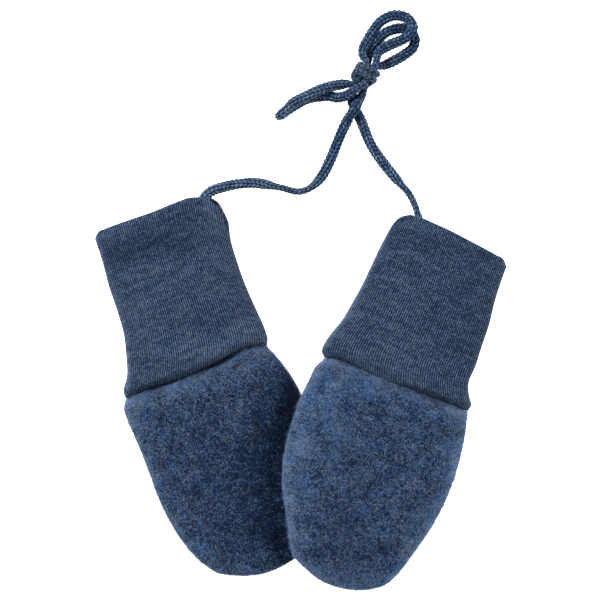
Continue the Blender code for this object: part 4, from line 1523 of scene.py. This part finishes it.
def lay_fibres(name, nap, grid, weight, paleness, seed):
    """A piece of joined fibres, scattered on a surface by its area and a weight."""
    rng = np.random.default_rng(seed)
    count = nap.count
    corner = grid[:-1, :-1]
    area = np.linalg.norm(np.cross(grid[1:, :-1] - corner, grid[:-1, 1:] - corner), axis=-1)
    chance = (area * weight[:-1, :-1]).ravel()
    cell = rng.choice(chance.size, count, p=chance / chance.sum())
    i, j = np.unravel_index(cell, area.shape)
    s, t = rng.random((2, count, 1))

    def read(values):
        top = values[i, j] * (1 - t) + values[i, j + 1] * t
        return top * (1 - s) + (values[i + 1, j] * (1 - t) + values[i + 1, j + 1] * t) * s

    root, out = read(grid), unit(read(grid_normals(grid)))
    random_way = rng.normal(size=(count, 3)) + np.array(BRUSHED)
    heading = unit(random_way - out * (random_way * out).sum(axis=-1, keepdims=True))
    side = np.cross(out, heading)
    reach = nap.length * rng.uniform(*FIBRE_LENGTHS, (count, 1))
    curl = rng.normal(0, FIBRE_CURL, (count, 1))
    rise = nap.lift * rng.uniform(*FIBRE_LIFTS, (count, 1))
    root = root - out * ROOT_DEPTH

    def bent(forward, aside, up):
        """A place along the fibres, from shares of their length, curl and lift."""
        return root + heading * reach * forward + side * curl * reach * aside + out * rise * up

    middle, tip = bent(*MIDDLE), bent(*TIP)
    half = side * nap.width / 2
    narrow = half * WAIST
    points = [root - half, root + half, middle + narrow, middle - narrow, tip]
    points = np.stack(points, axis=1)
    points[..., 2] = np.maximum(points[..., 2], LOWEST_FIBRE)
    first = np.arange(count)[:, None] * points.shape[1]
    faces = (first + [0, 1, 2, 3]).tolist() + (first + [3, 2, 4]).tolist()
    piece = new_piece(name, points, faces, fleece_nap)
    own = FIBRE_CONTRAST * (rng.random((count, 1)) - 0.5)
    store_tone(piece, np.repeat(own + read(paleness[..., None]), points.shape[1]))
    print(f"{name}: {count} fibres")


# %% [markdown]
# The fronts have the full nap. The backs lie on the floor, which presses theirs, and where the
# lower hand is under the upper one few fibres are left. Fibres that nobody can see only make
# the model heavy.

# %% Lay the nap
FRONT_NAP = Nap(count=56000, length=1.4, width=0.16, lift=0.55)
BACK_NAP = Nap(count=24000, length=1.4, width=0.16, lift=0.33)  # flattened by the floor
PRESSED_NAP = 0.85      # share of the fibres that is gone where the hand is pressed

for seed, ((side, is_front), (grid, pressed, paleness)) in enumerate(surfaces.items()):
    nap = FRONT_NAP if is_front else BACK_NAP
    name = f"{side}_hand_{'front' if is_front else 'back'}_nap"
    lay_fibres(name, nap, grid, 1.0 - PRESSED_NAP * pressed, paleness, seed)

# %% [markdown]
# Over the sides, where the cloth turns under, a few longer fibres stand off. A longer nap all
# over would blur the cloth, so these are a thin scatter of their own.

# %% Lay the fuzz
FUZZ = Nap(count=2600, length=2.2, width=0.10, lift=1.5)
FUZZ_TONE = 0.6         # how much of the panel's tone, painted light and shade with it, is kept in fibres that stand clear

for seed, side in enumerate(("left", "right"), start=len(surfaces)):
    grid, pressed, paleness = surfaces[side, True]
    upright = 1 - abs(grid_normals(grid)[..., 2])
    weight = upright * (1 - PRESSED_NAP * pressed)
    lay_fibres(f"{side}_hand_front_fuzz", FUZZ, grid, weight, paleness * FUZZ_TONE, seed)

# %% [markdown]
# ## Floor and light
#
# The floor is plain and white. A white floor alone would look grey and hold the shadows, so
# this one glows, as a lit table does.

# %% Floor
FLOOR_SIZE = 3.0        # in metres, as the lights are
FLOOR_DROP = 1e-4       # just below what lies on it
FLOOR_GLOW = 1.6


def make_floor():
    """A square white floor that glows."""
    mesh = bpy.data.meshes.new("floor")
    half = FLOOR_SIZE / 2
    corners = [(x * half, y * half, -FLOOR_DROP) for x, y in ((-1, -1), (1, -1), (1, 1), (-1, 1))]
    mesh.from_pydata(corners, [], [(0, 1, 2, 3)])
    material, _, shader = new_material("floor", 0.9)
    shader.inputs["Base Color"].default_value = (0.9, 0.9, 0.9, 1.0)
    shader.inputs["Emission Color"].default_value = (1.0, 1.0, 1.0, 1.0)
    shader.inputs["Emission Strength"].default_value = FLOOR_GLOW
    mesh.materials.append(material)
    floor = bpy.data.objects.new("floor", mesh)
    bpy.context.scene.collection.objects.link(floor)


make_floor()
print(f"The floor is {FLOOR_SIZE:g} m square")

# %% [markdown]
# A wide soft light stands at the upper left and a weaker one at the right, with even light
# all round. One small lamp would be brighter, but it would cut hard shadows into the nap.

# %% Lights
LIGHT_DISTANCE = 2.4
LIGHT_TARGET = (0.0, 0.02, 0.0)     # the middle of the set
LIGHT_ALL_ROUND = 0.14


def soft_light(name, direction, size, power):
    """A square area light that looks at the middle of the set."""
    data = bpy.data.lights.new(name, "AREA")
    data.size = size
    data.energy = power
    light = bpy.data.objects.new(name, data)
    target = Vector(LIGHT_TARGET)
    light.location = target + Vector(direction).normalized() * LIGHT_DISTANCE
    light.rotation_euler = (target - light.location).to_track_quat("-Z", "Y").to_euler()
    bpy.context.scene.collection.objects.link(light)
    print(f"{name}: {power:g} watts")


soft_light("left light", (-0.76, 0.48, 0.56), size=1.0, power=94.0)
soft_light("right light", (0.85, -0.10, 0.35), size=1.4, power=60.0)

world = bpy.data.worlds.new("studio")
world.use_nodes = True
background = world.node_tree.nodes["Background"]
background.inputs["Color"].default_value = (1.0, 1.0, 1.0, 1.0)
background.inputs["Strength"].default_value = LIGHT_ALL_ROUND
bpy.context.scene.world = world
bpy.context.scene.view_settings.view_transform = "Standard"
